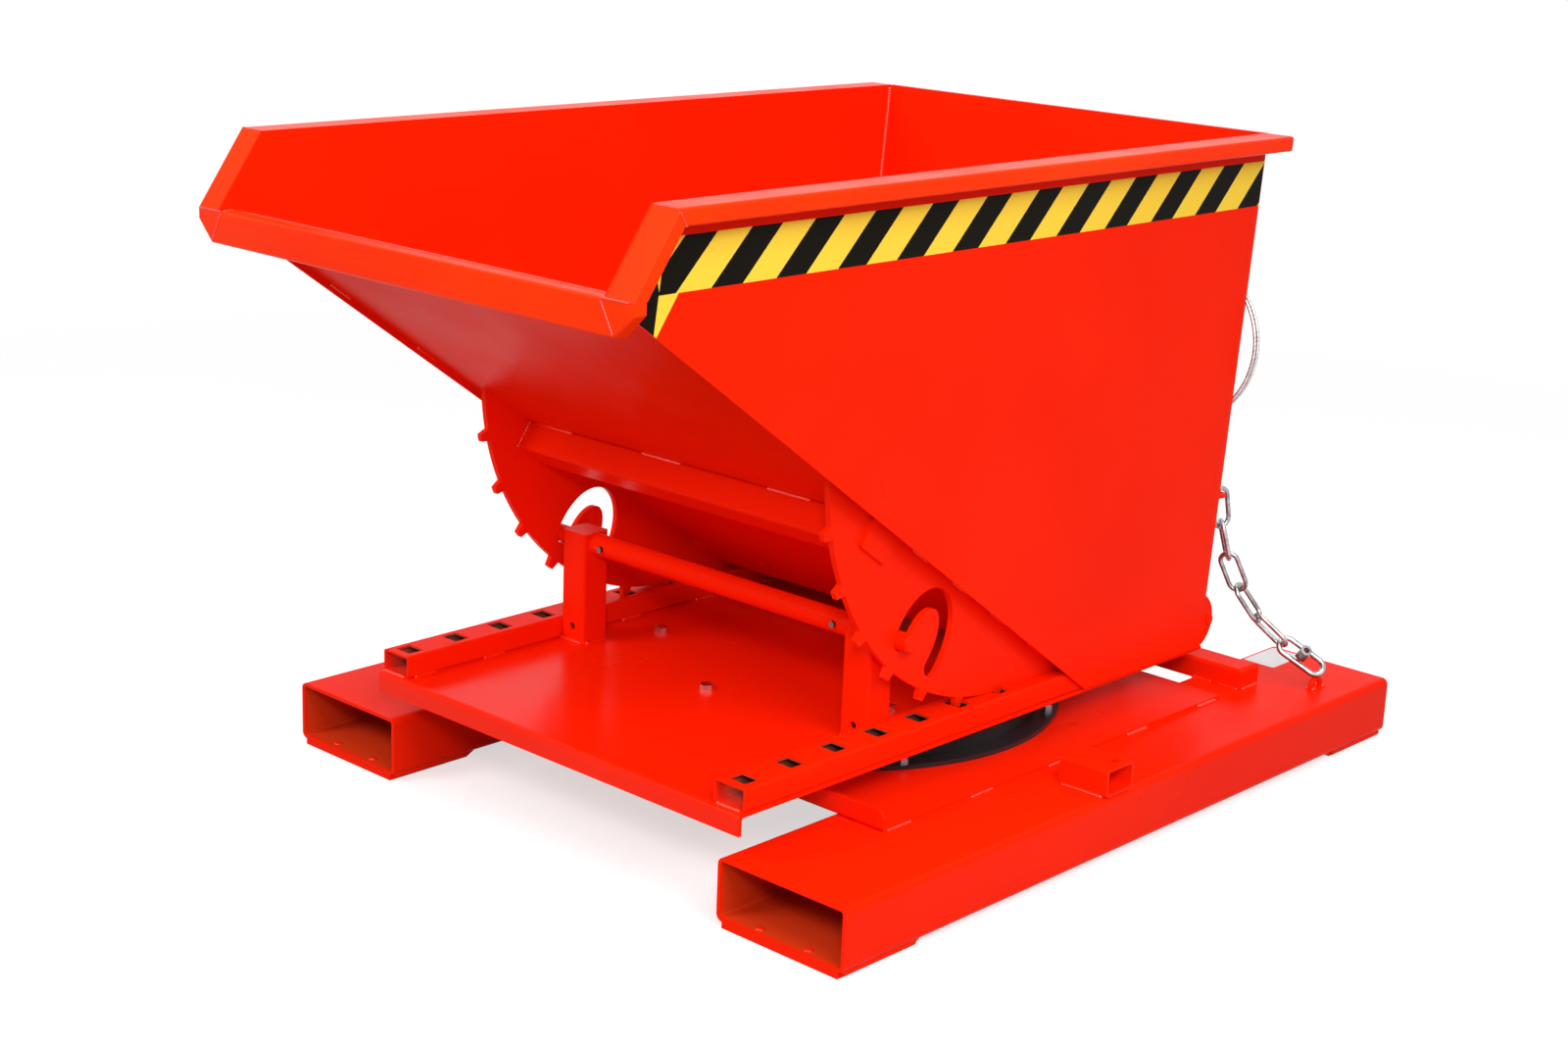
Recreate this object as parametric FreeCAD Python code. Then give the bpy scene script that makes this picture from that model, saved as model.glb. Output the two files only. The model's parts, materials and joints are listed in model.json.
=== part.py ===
import FreeCAD, Part
import math
import os

# A steel tipping skip that rolls forward on toothed rockers, on a turntable base with fork pockets.
# Millimetres. The ground is z = 0, the skip pours towards -Y, and +X is its right side.
# The origin lies on the ground, under the middle of the whole length.

V = FreeCAD.Vector
ALONG_X = V(1, 0, 0)
ALONG_Y = V(0, 1, 0)
ALONG_Z = V(0, 0, 1)

# Overall
base_length = 1180.0
base_width = 1000.0

# Fits
overrun = 6.0
seat_gap = 0.2
roll_gap = 0.3
shaft_gap = 0.08
inner_corner_share = 0.4
parallel_share = 0.999

# Fork pockets and their feet
pocket_width = 200.0
pocket_height = 80.0
pocket_wall = 5.0
pocket_corner = 9.0
foot_thickness = 8.0
foot_length = 148.0
foot_bevel = 16.0

# Slewing ring
turntable_setback = 525.0
ring_height = 50.0
ball_circle_radius = 273.0
ball_diameter = 14.0
ball_count = 18
race_gap = 10.0
race_play = 0.15
ring_leg = 10.0
ring_flange = 6.0
lower_flange_width = 30.0
upper_flange_width = 28.0
ring_leg_clearance = 8.0
tray_bolt_count = 6
tray_bolt_start = 30.0
ring_bolt_share = 1.1
ring_bolt_inset = 27.0
bolt_diameter = 10.0
bolt_head_across = 16.0
bolt_head_height = 6.5

# Turntable plate
plate_lap = 83.0
plate_length = 724.0
plate_thickness = 5.0
plate_flange_height = 27.0
plate_bend = 4.0
plate_corner = 12.0
ring_margin = 2.0

# Rear cross member, a folded channel
member_lap = 83.0
member_depth = 48.0
member_height = 30.0
member_sheet = 4.0
member_bend = 6.0
member_gap = 48.0

# Lock receiver
receiver_length = 74.0
receiver_width = 56.0
receiver_reach = 37.0
receiver_height = 38.0
receiver_wall = 4.0
receiver_corner = 6.0
lock_hole_diameter = 14.0
lock_hole_inset = 18.0

# Chain staple on the base
staple_rod = 8.0
staple_span = 25.0
staple_height = 18.0
staple_inset = 52.0
staple_setback = 115.0

# Tray and rails
tray_width = 662.0
tray_length = 942.0
tray_sheet = 5.0
tray_lip_drop = 27.0
tray_bend = 4.0
rail_width = 50.0
rail_height = 30.0
rail_wall = 3.0
rail_corner = 4.0
rail_rear_gap = 6.0
slot_width = 28.0
slot_length = 24.0
slot_pitch = 78.0
contact_setback = 500.0

# Posts, guide axle and sleeve
post_width = 45.0
post_height = 157.0
post_wall = 4.0
post_corner = 5.0
drain_diameter = 10.0
drain_height = 22.0
axle_diameter = 24.0
axle_height = 141.0
axle_reach = 200.0
axle_end_gap = 3.0
axle_chamfer = 2.0
sleeve_diameter = 30.0
screw_diameter = 8.0
screw_stand = 4.0
screw_inset = 24.0

# Rockers
roll_radius = 345.0
max_tilt = 68.0
rocker_thickness = 8.0
rocker_rear_gap = 40.0
brace_pad_land = 15.0
tooth_height = 13.0
tooth_root = 18.0
tooth_tip = 10.0
tooth_sink = 4.0
crescent_play = 1.5
crescent_steps = 8
plug_diameter = 20.0

# Skip sheets
skip_height = 718.0
skip_sheet = 3.0
rear_sheet = 4.0
skirt_gap = 2.0
skirt_length = 270.0
skirt_proud = 8.0
wall_gap = 3.0
chute_angle = 35.2
rear_lean = 4.75
rear_inset = 14.0
floor_gap = 8.0
floor_bend = 10.0
hem_height = 24.0
hem_thickness = 4.0

# Rims and pouring lip
rim_width = 40.0
rim_depth = 20.0
rim_wall = 2.0
rim_edge = 4.0
front_rise = 91.0
lip_depth = 20.0
lip_height = 40.0
lip_sheet = 3.0
lip_corner = 16.0

# Cross brace under the chute
brace_width = 54.0
brace_depth = 40.0
brace_wall = 3.0
brace_corner = 4.0
brace_reach = 420.0
brace_stand_out = 6.0
brace_cap_thickness = 4.0

# Latch behind the skip
latch_standoff = 17.0
latch_lift = 37.0
latch_release = 20.0
latch_shaft_diameter = 14.0
latch_shaft_end = 4.0
lug_thickness = 12.0
lug_radius = 40.0
lug_bulge = 28.0
hook_thickness = 10.0
hook_boss_radius = 13.0
hook_spread = 370.0
hook_arm = 16.0
hook_gap = 2.0
hook_play = 1.5
hook_nose = 10.0
hook_reach = 12.0
lever_thickness = 8.0
lever_length = 45.0
lever_width = 18.0

# Release cable: one steel rope, coiled on a hook, whose lead goes down to the latch lever
cable_diameter = 5.0
coil_radius = 110.0
coil_pitch = 8.2
coil_turns = 2.15
coil_inset = 92.0
coil_lift = 422.0
coil_standoff = 5.0
coil_arcs_per_turn = 4
ferrule_diameter = 10.0
ferrule_length = 22.0
eye_radius = 8.0
cable_hook_rod = 8.0
cable_hook_reach = 40.0
cable_hook_tip = 18.0
cable_hook_bend = 8.0
lead_route = ((132.5, 489.5, 452.0), (132.0, 494.5, 394.0), (134.5, 502.5, 338.0))
lead_end_run = 50.0
run_share = 0.45

# Chain: long links from an eye on the rear wall down to the staple, ending in a quick link
chain_wire = 7.0
chain_inner_length = 52.0
chain_inner_width = 18.0
chain_gap = 0.7
quick_wire = 8.0
quick_inner_length = 64.0
quick_inner_width = 18.0
quick_sleeve_across = 15.0
quick_sleeve_length = 24.0
chain_eye_inset = 12.0
chain_eye_lift = 216.0
chain_eye_standoff = 24.0
chain_eye_span = 22.0
link_leans = (
    (0.0, 0.27, -1.0), (0.11, 0.30, -1.0), (0.32, 0.33, -1.0), (0.63, 0.39, -1.0), (1.09, 0.51, -1.0))
link_rolls = (108.0, 24.0, 120.0, 21.0, 138.0)
quick_lean = (1.57, 0.69, -1.0)
quick_roll = 42.0

# Places that follow from the sizes
chute_slope = math.tan(math.radians(chute_angle))
chute_cos = math.cos(math.radians(chute_angle))
chute_sin = math.sin(math.radians(chute_angle))
lip_run = (skip_height - front_rise - (skirt_proud + skip_sheet) / chute_cos) / chute_slope
lip_overhang = lip_run + lip_depth - (tray_length - rear_inset - skirt_length)
base_rear = (base_length + lip_overhang) / 2
base_front = base_rear - base_length
lip_front = base_front - lip_overhang
base_side = base_width / 2
plate_side = base_side - pocket_width + plate_lap
member_side = base_side - pocket_width + member_lap
turntable_y = base_front + turntable_setback
turntable_axis = V(0, turntable_y, 0)
pocket_top = foot_thickness + pocket_height
plate_top = pocket_top + plate_thickness
tray_bottom = plate_top + ring_height
tray_top = tray_bottom + tray_sheet
rail_top = tray_top + rail_height
lower_leg_inside = ball_circle_radius + race_gap / 2
lower_leg_outside = lower_leg_inside + ring_leg
ring_radius = lower_leg_outside + lower_flange_width
upper_leg_outside = ball_circle_radius - race_gap / 2
upper_leg_inside = upper_leg_outside - ring_leg
upper_ring_inside = upper_leg_inside - upper_flange_width
ring_bolt_circle = lower_leg_outside + lower_flange_width / 2
ring_bolt_spacing = ring_bolt_share * (base_side - pocket_width) - ring_bolt_inset
tray_bolt_circle = upper_leg_inside - upper_flange_width / 2
ball_z = plate_top + ring_height / 2
plate_front = turntable_y - ring_radius - ring_margin - plate_bend - plate_thickness
tray_side = tray_width / 2
tray_front = base_front
tray_rear = tray_front + tray_length
rail_x = tray_side - rail_width / 2
rail_inside = tray_side - rail_width
contact_y = tray_front + contact_setback
axle_y = contact_y - axle_reach
axle_z = tray_top + axle_height
roll_z = rail_top + roll_radius
wall_inside = tray_side + wall_gap
wall_outside = wall_inside + skip_sheet
rim_outside = wall_outside + rim_width
skip_bottom = tray_top + skirt_gap
skip_top = skip_bottom + skip_height
skip_rear = tray_rear - rear_inset
rear_slope = math.tan(math.radians(rear_lean))
corner_y = skip_rear - skirt_length
floor_z = rail_top + floor_gap
lip_back = lip_front + lip_depth
latch_z = skip_bottom + latch_lift


def rear_y(z):
    """Outer face of the leaning rear wall."""
    return skip_rear + (z - skip_bottom) * rear_slope


def wall_edge_z(y):
    """Lower front edge of the side walls."""
    return skip_bottom + (corner_y - y) * chute_slope


def chute_z(y):
    """Underside of the chute, a little above the edge of the side walls."""
    return wall_edge_z(y) + skirt_proud / chute_cos


floor_y = corner_y - (floor_z - skip_bottom - skirt_proud / chute_cos) / chute_slope
lip_top = chute_z(lip_back) + skip_sheet / chute_cos
lip_bottom = lip_top - lip_height
front_top_y = lip_front + (skip_top - lip_top) * chute_slope
rim_low = skip_top - rim_depth
latch_y = rear_y(latch_z) + latch_standoff
latch_centre = V(0, latch_y, latch_z)


def block(x, y, z):
    return Part.makeBox(x[1] - x[0], y[1] - y[0], z[1] - z[0], V(x[0], y[0], z[0]))


def straight_edges(shape, direction):
    found = []
    for edge in shape.Edges:
        line = edge.Curve
        if isinstance(line, Part.Line) and abs(line.Direction.dot(direction)) > parallel_share:
            found.append(edge)
    return found


def edge_through(shape, direction, point):
    """The straight edge along a direction that passes nearest to a point."""
    vertex = Part.Vertex(point)
    return min(straight_edges(shape, direction), key=lambda edge: edge.distToShape(vertex)[0])


def tube(x, y, z, direction, wall, corner):
    """A rectangular tube with rounded corners, open at both ends."""
    outer = block(x, y, z)
    outer = outer.makeFillet(corner, straight_edges(outer, direction))
    spans = []
    for span, part in zip((x, y, z), direction):
        inset = -overrun if abs(part) > parallel_share else wall
        spans.append((span[0] + inset, span[1] - inset))
    bore = block(*spans)
    bore = bore.makeFillet(corner * inner_corner_share, straight_edges(bore, direction))
    return outer.cut(bore)


def prism(points, x):
    """An outline of (y, z) points, drawn out along X."""
    corners = [V(x[0], y, z) for y, z in points]
    face = Part.Face(Part.makePolygon(corners + corners[:1]))
    return face.extrude(V(x[1] - x[0], 0, 0))


def hexagon(centre, across, height):
    radius = across / math.sqrt(3)
    corners = []
    for step in range(6):
        turn = math.radians(60 * step)
        corners.append(centre + V(radius * math.cos(turn), radius * math.sin(turn), 0))
    return Part.Face(Part.makePolygon(corners + corners[:1])).extrude(V(0, 0, height))


def turned(profile):
    """A closed (radius, z) outline, revolved round the turntable axis."""
    corners = [V(radius, turntable_y, z) for radius, z in profile]
    face = Part.Face(Part.makePolygon(corners + corners[:1]))
    return face.revolve(turntable_axis, ALONG_Z, 360)


def on_circle(radius, count, start, z):
    places = []
    for step in range(count):
        turn = math.radians(start + step * 360 / count)
        places.append(V(radius * math.cos(turn), turntable_y + radius * math.sin(turn), z))
    return places


def tray_bolt_places(z):
    return on_circle(tray_bolt_circle, tray_bolt_count, tray_bolt_start, z)


def ring_bolt_places(z):
    """Three places at the front and three at the rear of the ring, spaced to stay between the pockets."""
    spread = 2 * math.asin(ring_bolt_spacing / (2 * ring_bolt_circle))
    places = []
    for end in (-1, 1):
        for turn in (-spread, 0, spread):
            along = end * ring_bolt_circle * math.cos(turn)
            places.append(V(ring_bolt_circle * math.sin(turn), turntable_y + along, z))
    return places


def mirrored(shape):
    return shape.mirror(V(0, 0, 0), ALONG_X)


def joined(shapes):
    return shapes[0].fuse(shapes[1:]).removeSplitter()


def bow(rod, mean_radius, leg):
    """A half ring of round bar in the local XY plane, with a straight leg at each end towards -Y."""
    half_ring = Part.makeTorus(mean_radius, rod / 2, V(0, 0, 0), ALONG_Z, -180, 180, 180)
    legs = [Part.makeCylinder(rod / 2, leg, V(side * mean_radius, 0, 0), -ALONG_Y) for side in (-1, 1)]
    return joined([half_ring] + legs)


def placed(shape, centre, lateral, along):
    """Put a local shape down with its X axis on lateral and its Y axis on along."""
    normal = lateral.cross(along)
    matrix = FreeCAD.Matrix(
        lateral.x, along.x, normal.x, centre.x,
        lateral.y, along.y, normal.y, centre.y,
        lateral.z, along.z, normal.z, centre.z,
        0, 0, 0, 1)
    result = shape.copy()
    result.Placement = FreeCAD.Placement(matrix)
    return result


def unit(vector):
    return V(vector).normalize()


# Base


def fork_pocket():
    x = (base_side - pocket_width, base_side)
    return tube(x, (base_front, base_rear), (foot_thickness, pocket_top), ALONG_Y, pocket_wall, pocket_corner)


def front_foot():
    end = base_front + foot_length
    outline = ((base_front, 0), (end - foot_bevel, 0), (end, foot_thickness), (base_front, foot_thickness))
    return prism(outline, (base_side - pocket_width + pocket_corner, base_side - pocket_corner))


def rear_foot():
    end = base_rear - foot_length
    outline = (
        (base_rear - foot_thickness, 0), (base_rear, foot_thickness),
        (end, foot_thickness), (end + foot_bevel, 0))
    return prism(outline, (base_side - pocket_width + pocket_corner, base_side - pocket_corner))


def turntable_plate():
    flange_top = pocket_top + plate_flange_height
    inner = plate_front + plate_thickness
    outline = (
        (plate_front, pocket_top), (plate_front + plate_length, pocket_top),
        (plate_front + plate_length, plate_top), (inner, plate_top),
        (inner, flange_top), (plate_front, flange_top))
    plate = prism(outline, (-plate_side, plate_side))
    plate = plate.makeFillet(plate_bend, [edge_through(plate, ALONG_X, V(0, inner, plate_top))])
    fold = edge_through(plate, ALONG_X, V(0, plate_front, pocket_top))
    plate = plate.makeFillet(plate_bend + plate_thickness / 2, [fold])
    ends = [V(end, plate_front, flange_top) for end in (-plate_side, plate_side)]
    plate = plate.makeFillet(plate_corner, [edge_through(plate, ALONG_Y, end) for end in ends])
    for place in ring_bolt_places(pocket_top - overrun):
        hole = Part.makeCylinder(bolt_diameter / 2 + seat_gap, plate_thickness + 2 * overrun, place)
        plate = plate.cut(hole)
    return plate


def rear_cross_member():
    front = plate_front + plate_length + member_gap
    rear = front + member_depth
    top = pocket_top + member_height
    member = block((-member_side, member_side), (front, rear), (pocket_top, top))
    folds = [edge_through(member, ALONG_X, V(0, y, top)) for y in (front, rear)]
    folds += [edge_through(member, ALONG_Y, V(end, front, top)) for end in (-member_side, member_side)]
    member = member.makeFillet(member_bend, folds)
    hollow = block(
        (member_sheet - member_side, member_side - member_sheet),
        (front + member_sheet, rear - member_sheet), (pocket_top - overrun, top - member_sheet))
    return member.cut(hollow)


def lock_receiver():
    x = (base_side - receiver_length, base_side)
    front = turntable_y - receiver_reach
    y = (front, front + receiver_width)
    z = (pocket_top, pocket_top + receiver_height)
    receiver = tube(x, y, z, ALONG_X, receiver_wall, receiver_corner)
    foot = V(base_side - lock_hole_inset, turntable_y, z[1] - receiver_wall - overrun)
    hole = Part.makeCylinder(lock_hole_diameter / 2, receiver_wall + 2 * overrun, foot)
    return receiver.cut(hole)


staple_place = V(base_side - staple_inset, base_rear - staple_setback, pocket_top + staple_height)


def chain_staple():
    mean = staple_span / 2
    centre = staple_place - V(0, 0, mean + staple_rod / 2)
    return placed(bow(staple_rod, mean, centre.z - pocket_top), centre, ALONG_Y, ALONG_Z)


def race_groove():
    middle = V(0, turntable_y, ball_z)
    return Part.makeTorus(ball_circle_radius, ball_diameter / 2 + race_play, middle, ALONG_Z)


def lower_ring():
    leg_top = tray_bottom - ring_leg_clearance
    ring = turned((
        (lower_leg_inside, plate_top), (ring_radius, plate_top), (ring_radius, plate_top + ring_flange),
        (lower_leg_outside, plate_top + ring_flange), (lower_leg_outside, leg_top),
        (lower_leg_inside, leg_top)))
    ring = ring.cut(race_groove())
    for place in ring_bolt_places(plate_top - overrun):
        ring = ring.cut(Part.makeCylinder(bolt_diameter / 2 + seat_gap, ring_flange + 2 * overrun, place))
    return ring


def upper_ring():
    leg_bottom = plate_top + ring_leg_clearance
    flange_bottom = tray_bottom - ring_flange
    ring = turned((
        (upper_ring_inside, tray_bottom), (upper_leg_outside, tray_bottom), (upper_leg_outside, leg_bottom),
        (upper_leg_inside, leg_bottom), (upper_leg_inside, flange_bottom),
        (upper_ring_inside, flange_bottom)))
    ring = ring.cut(race_groove())
    for place in tray_bolt_places(flange_bottom - overrun):
        ring = ring.cut(Part.makeCylinder(bolt_diameter / 2 + seat_gap, ring_flange + 2 * overrun, place))
    return ring


def bearing_balls():
    places = on_circle(ball_circle_radius, ball_count, 0, ball_z)
    return Part.makeCompound([Part.makeSphere(ball_diameter / 2, place) for place in places])


def bolts(places, grip):
    """Hexagon bolts with a head at each place and a nut below what they clamp."""
    found = []
    for place in places:
        foot = place - V(0, 0, grip + bolt_head_height)
        head = hexagon(place, bolt_head_across, bolt_head_height)
        nut = hexagon(foot, bolt_head_across, bolt_head_height)
        shank = Part.makeCylinder(bolt_diameter / 2, grip + bolt_head_height, foot)
        found.append(joined([shank, head, nut]))
    return Part.makeCompound(found)


# Turning frame


def tray():
    lip_low = tray_top - tray_lip_drop
    inner = tray_front + tray_sheet
    outline = (
        (tray_front, lip_low), (inner, lip_low), (inner, tray_bottom),
        (tray_rear, tray_bottom), (tray_rear, tray_top), (tray_front, tray_top))
    sheet = prism(outline, (-tray_side, tray_side))
    sheet = sheet.makeFillet(tray_bend, [edge_through(sheet, ALONG_X, V(0, inner, tray_bottom))])
    fold = edge_through(sheet, ALONG_X, V(0, tray_front, tray_top))
    sheet = sheet.makeFillet(tray_bend + tray_sheet / 2, [fold])
    for place in tray_bolt_places(tray_bottom - overrun):
        sheet = sheet.cut(Part.makeCylinder(bolt_diameter / 2 + seat_gap, tray_sheet + 2 * overrun, place))
    return sheet


def rail():
    y = (tray_front + tray_bend + tray_sheet, skip_rear - rail_rear_gap)
    bar = tube((rail_inside, tray_side), y, (tray_top, rail_top), ALONG_Y, rail_wall, rail_corner)
    slots = []
    count = 1 + int((contact_y - y[0] - slot_length / 2) / slot_pitch)
    for step in range(count):
        middle = contact_y - step * slot_pitch
        slots.append(block(
            (rail_x - slot_width / 2, rail_x + slot_width / 2),
            (middle - slot_length / 2, middle + slot_length / 2),
            (rail_top - rail_wall - overrun, rail_top + overrun)))
    return bar.cut(slots)


def post():
    x = (rail_inside - post_width, rail_inside)
    y = (axle_y - post_width / 2, axle_y + post_width / 2)
    top = tray_top + post_height
    outer = block(x, y, (tray_top, top))
    outer = outer.makeFillet(post_corner, straight_edges(outer, ALONG_Z))
    hollow = block(
        (x[0] + post_wall, x[1] - post_wall), (y[0] + post_wall, y[1] - post_wall),
        (tray_top - overrun, top - post_wall))
    bore = Part.makeCylinder(
        axle_diameter / 2 + seat_gap, post_width + 2 * overrun, V(x[0] - overrun, axle_y, axle_z), ALONG_X)
    drain_foot = V((x[0] + x[1]) / 2, y[0] - overrun, tray_top + drain_height)
    drain = Part.makeCylinder(drain_diameter / 2, post_wall + 2 * overrun, drain_foot, ALONG_Y)
    return outer.cut([hollow, bore, drain])


def guide_axle():
    side = tray_side - axle_end_gap
    bar = Part.makeCylinder(axle_diameter / 2, 2 * side, V(-side, axle_y, axle_z), ALONG_X)
    rims = [edge for edge in bar.Edges if isinstance(edge.Curve, Part.Circle)]
    return bar.makeChamfer(axle_chamfer, rims)


def screw_places():
    side = rail_inside - post_width - screw_inset
    return [V(end, axle_y, axle_z) for end in (-side, side)]


def axle_sleeve():
    side = rail_inside - post_width
    start = V(-side, axle_y, axle_z)
    outer = Part.makeCylinder(sleeve_diameter / 2, 2 * side, start, ALONG_X)
    bore = Part.makeCylinder(axle_diameter / 2 + seat_gap, 2 * side, start, ALONG_X)
    holes = [Part.makeCylinder(screw_diameter / 2 + seat_gap, sleeve_diameter, place, -ALONG_Y)
             for place in screw_places()]
    return outer.cut([bore] + holes)


def axle_set_screws():
    start = axle_diameter / 2 + seat_gap
    length = sleeve_diameter / 2 + screw_stand - start
    return Part.makeCompound([
        Part.makeCylinder(screw_diameter / 2, length, place - V(0, start, 0), -ALONG_Y)
        for place in screw_places()])


# Skip


def side_wall():
    outline = (
        (skip_rear, skip_bottom), (rear_y(skip_top), skip_top), (front_top_y, skip_top), (lip_front, lip_top),
        (lip_back, lip_top), (lip_back, wall_edge_z(lip_back)), (corner_y, skip_bottom))
    wall = prism(outline, (wall_inside, wall_outside))
    hole = Part.makeCylinder(
        plug_diameter / 2 + shaft_gap, skip_sheet + 2 * overrun,
        V(wall_inside - overrun, contact_y, roll_z), ALONG_X)
    return wall.cut(hole)


def roll_centre_plugs():
    plug = Part.makeCylinder(plug_diameter / 2, skip_sheet, V(wall_inside, contact_y, roll_z), ALONG_X)
    return Part.makeCompound([mirrored(plug), plug])


def chute_and_floor():
    rise = skip_sheet / chute_cos
    fold_y = floor_y + (rise - skip_sheet) / chute_slope
    back = rear_y(floor_z) - rear_sheet / math.cos(math.radians(rear_lean))
    back_top = back + skip_sheet * rear_slope
    outline = (
        (lip_back, chute_z(lip_back)), (floor_y, floor_z), (back, floor_z), (back_top, floor_z + skip_sheet),
        (fold_y, floor_z + skip_sheet), (lip_back, chute_z(lip_back) + rise))
    sheet = prism(outline, (-wall_inside, wall_inside))
    inner = edge_through(sheet, ALONG_X, V(0, fold_y, floor_z + skip_sheet))
    sheet = sheet.makeFillet(floor_bend, [inner])
    outer = edge_through(sheet, ALONG_X, V(0, floor_y, floor_z))
    return sheet.makeFillet(floor_bend + skip_sheet, [outer])


def rear_wall():
    across = rear_sheet / math.cos(math.radians(rear_lean))
    hem_low = skip_top - hem_height
    outline = (
        (rear_y(floor_z), floor_z), (rear_y(hem_low), hem_low), (rear_y(hem_low) + hem_thickness, hem_low),
        (rear_y(skip_top) + hem_thickness, skip_top), (rear_y(skip_top) - across, skip_top),
        (rear_y(floor_z) - across, floor_z))
    return prism(outline, (-wall_inside, wall_inside))


def rim_bar(outline, hollow, direction):
    """A rim profile beside the wall, with its two outer long edges rounded."""
    bar = prism(outline, (wall_outside, rim_outside))
    outer = []
    for edge in straight_edges(bar, direction):
        if edge.BoundBox.XMin > (wall_outside + rim_outside) / 2:
            outer.append(edge)
    bar = bar.makeFillet(rim_edge, outer)
    return bar.cut(prism(hollow, (wall_outside + rim_wall, rim_outside - rim_wall)))


def mitre_y(z):
    """The mitre between the top rim and the slanted front rim."""
    inner = lip_front + rim_depth / chute_cos + (rim_low - lip_top) * chute_slope
    return front_top_y + (skip_top - z) * (inner - front_top_y) / rim_depth


def top_rim():
    outline = (
        (front_top_y, skip_top), (rear_y(skip_top), skip_top), (rear_y(rim_low), rim_low),
        (mitre_y(rim_low), rim_low))
    high = skip_top - rim_wall
    low = rim_low + rim_wall
    hollow = (
        (mitre_y(high) - overrun, high), (rear_y(high) - rim_wall, high), (rear_y(low) - rim_wall, low),
        (mitre_y(low) - overrun, low))
    return rim_bar(outline, hollow, ALONG_Y)


def front_rim():
    across = rim_depth / chute_cos
    skin = rim_wall / chute_cos
    outline = (
        (lip_front, lip_top), (front_top_y, skip_top),
        (mitre_y(rim_low), rim_low), (lip_front + across, lip_top))
    foot = lip_top - overrun
    head = skip_top + overrun

    def slant(shift, z):
        return (lip_front + shift + (z - lip_top) * chute_slope, z)

    hollow = (slant(skin, foot), slant(skin, head), slant(across - skin, head), slant(across - skin, foot))
    return rim_bar(outline, hollow, V(0, chute_sin, chute_cos))


def pouring_lip():
    corners = (
        (-rim_outside, lip_top), (rim_outside, lip_top), (rim_outside, lip_bottom + lip_corner),
        (rim_outside - lip_corner, lip_bottom), (lip_corner - rim_outside, lip_bottom),
        (-rim_outside, lip_bottom + lip_corner))
    points = [V(x, lip_front, z) for x, z in corners]
    bar = Part.Face(Part.makePolygon(points + points[:1])).extrude(V(0, lip_depth, 0))
    side = rim_outside - lip_corner - lip_sheet
    hollow = block(
        (-side, side), (lip_front + lip_sheet, lip_back + overrun),
        (lip_bottom + lip_sheet, lip_top - lip_sheet))
    return bar.cut(hollow)


def chute_place(reach):
    """A (y, z) place on the underside of the chute, up from its fold."""
    return (floor_y - reach * chute_cos, floor_z + reach * chute_sin)


brace_foot = V(0, *chute_place(brace_reach))
brace_y = (brace_foot.y - brace_width, brace_foot.y)
brace_z = (brace_foot.z - brace_depth, brace_foot.z)
brace_end = rail_x + rocker_thickness / 2 + brace_stand_out
brace_open = brace_end - brace_cap_thickness


def cross_brace():
    """A tube that lies against the underside of the chute and passes through both rockers."""
    bar = tube((-brace_open, brace_open), brace_y, brace_z, ALONG_X, brace_wall, brace_corner)
    bar.rotate(brace_foot, ALONG_X, -chute_angle)
    return bar


def brace_cap():
    """A plate that closes the end of the brace."""
    cap = block((brace_open, brace_end), brace_y, brace_z)
    cap = cap.makeFillet(brace_corner, straight_edges(cap, ALONG_X))
    cap.rotate(brace_foot, ALONG_X, -chute_angle)
    return cap


def on_roll_circle(radius, turn):
    """A (y, z) place on the roll circle, turned forward from straight down."""
    return (contact_y - radius * math.sin(turn), roll_z - radius * math.cos(turn))


def tip_turn(radius):
    """The turn, from straight below the roll centre, at which an arc meets the chute."""
    drop = (roll_z - chute_z(contact_y)) * chute_cos
    reach = math.sqrt(radius ** 2 - drop ** 2)
    tip_y = contact_y - drop * chute_sin - reach * chute_cos
    return math.atan2(contact_y - tip_y, roll_z - chute_z(tip_y))


tooth_count = 1 + int((tip_turn(roll_radius) * roll_radius - tooth_root) / slot_pitch)


def brace_pad(x):
    """The land of plate that holds the brace, wherever the brace sits along the chute."""
    pad = block(
        (x, x + rocker_thickness), (brace_y[0] - brace_pad_land, brace_y[1] + brace_pad_land),
        (brace_z[0] - brace_pad_land, brace_z[1]))
    pad.rotate(brace_foot, ALONG_X, -chute_angle)
    return pad


def rocker_blank(x):
    """The plate: a rolling arc, the flat runner behind it, and the chute along its top."""
    radius = roll_radius - roll_gap
    turn = tip_turn(radius)
    tip = V(x, *on_roll_circle(radius, turn))
    middle = V(x, *on_roll_circle(radius, turn / 2))
    bottom = V(x, *on_roll_circle(radius, 0))
    tail_y = rear_y(floor_z) - rocker_rear_gap
    corners = [bottom, V(x, tail_y, bottom.z), V(x, tail_y, floor_z), V(x, floor_y, floor_z), tip]
    edges = [Part.Arc(tip, middle, bottom).toShape()]
    for start, end in zip(corners, corners[1:]):
        edges.append(Part.LineSegment(start, end).toShape())
    return Part.Face(Part.Wire(edges)).extrude(V(rocker_thickness, 0, 0))


def rocker_tooth(x, step):
    pitch_turn = slot_pitch / roll_radius
    centre = V(0, contact_y, roll_z)
    root = roll_z - roll_radius + tooth_sink
    tip = roll_z - roll_radius - tooth_height
    tooth = prism((
        (contact_y - tooth_root / 2, root), (contact_y + tooth_root / 2, root),
        (contact_y + tooth_tip / 2, tip), (contact_y - tooth_tip / 2, tip)), (x, x + rocker_thickness))
    tooth.rotate(centre, ALONG_X, -math.degrees(step * pitch_turn))
    return tooth


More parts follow.
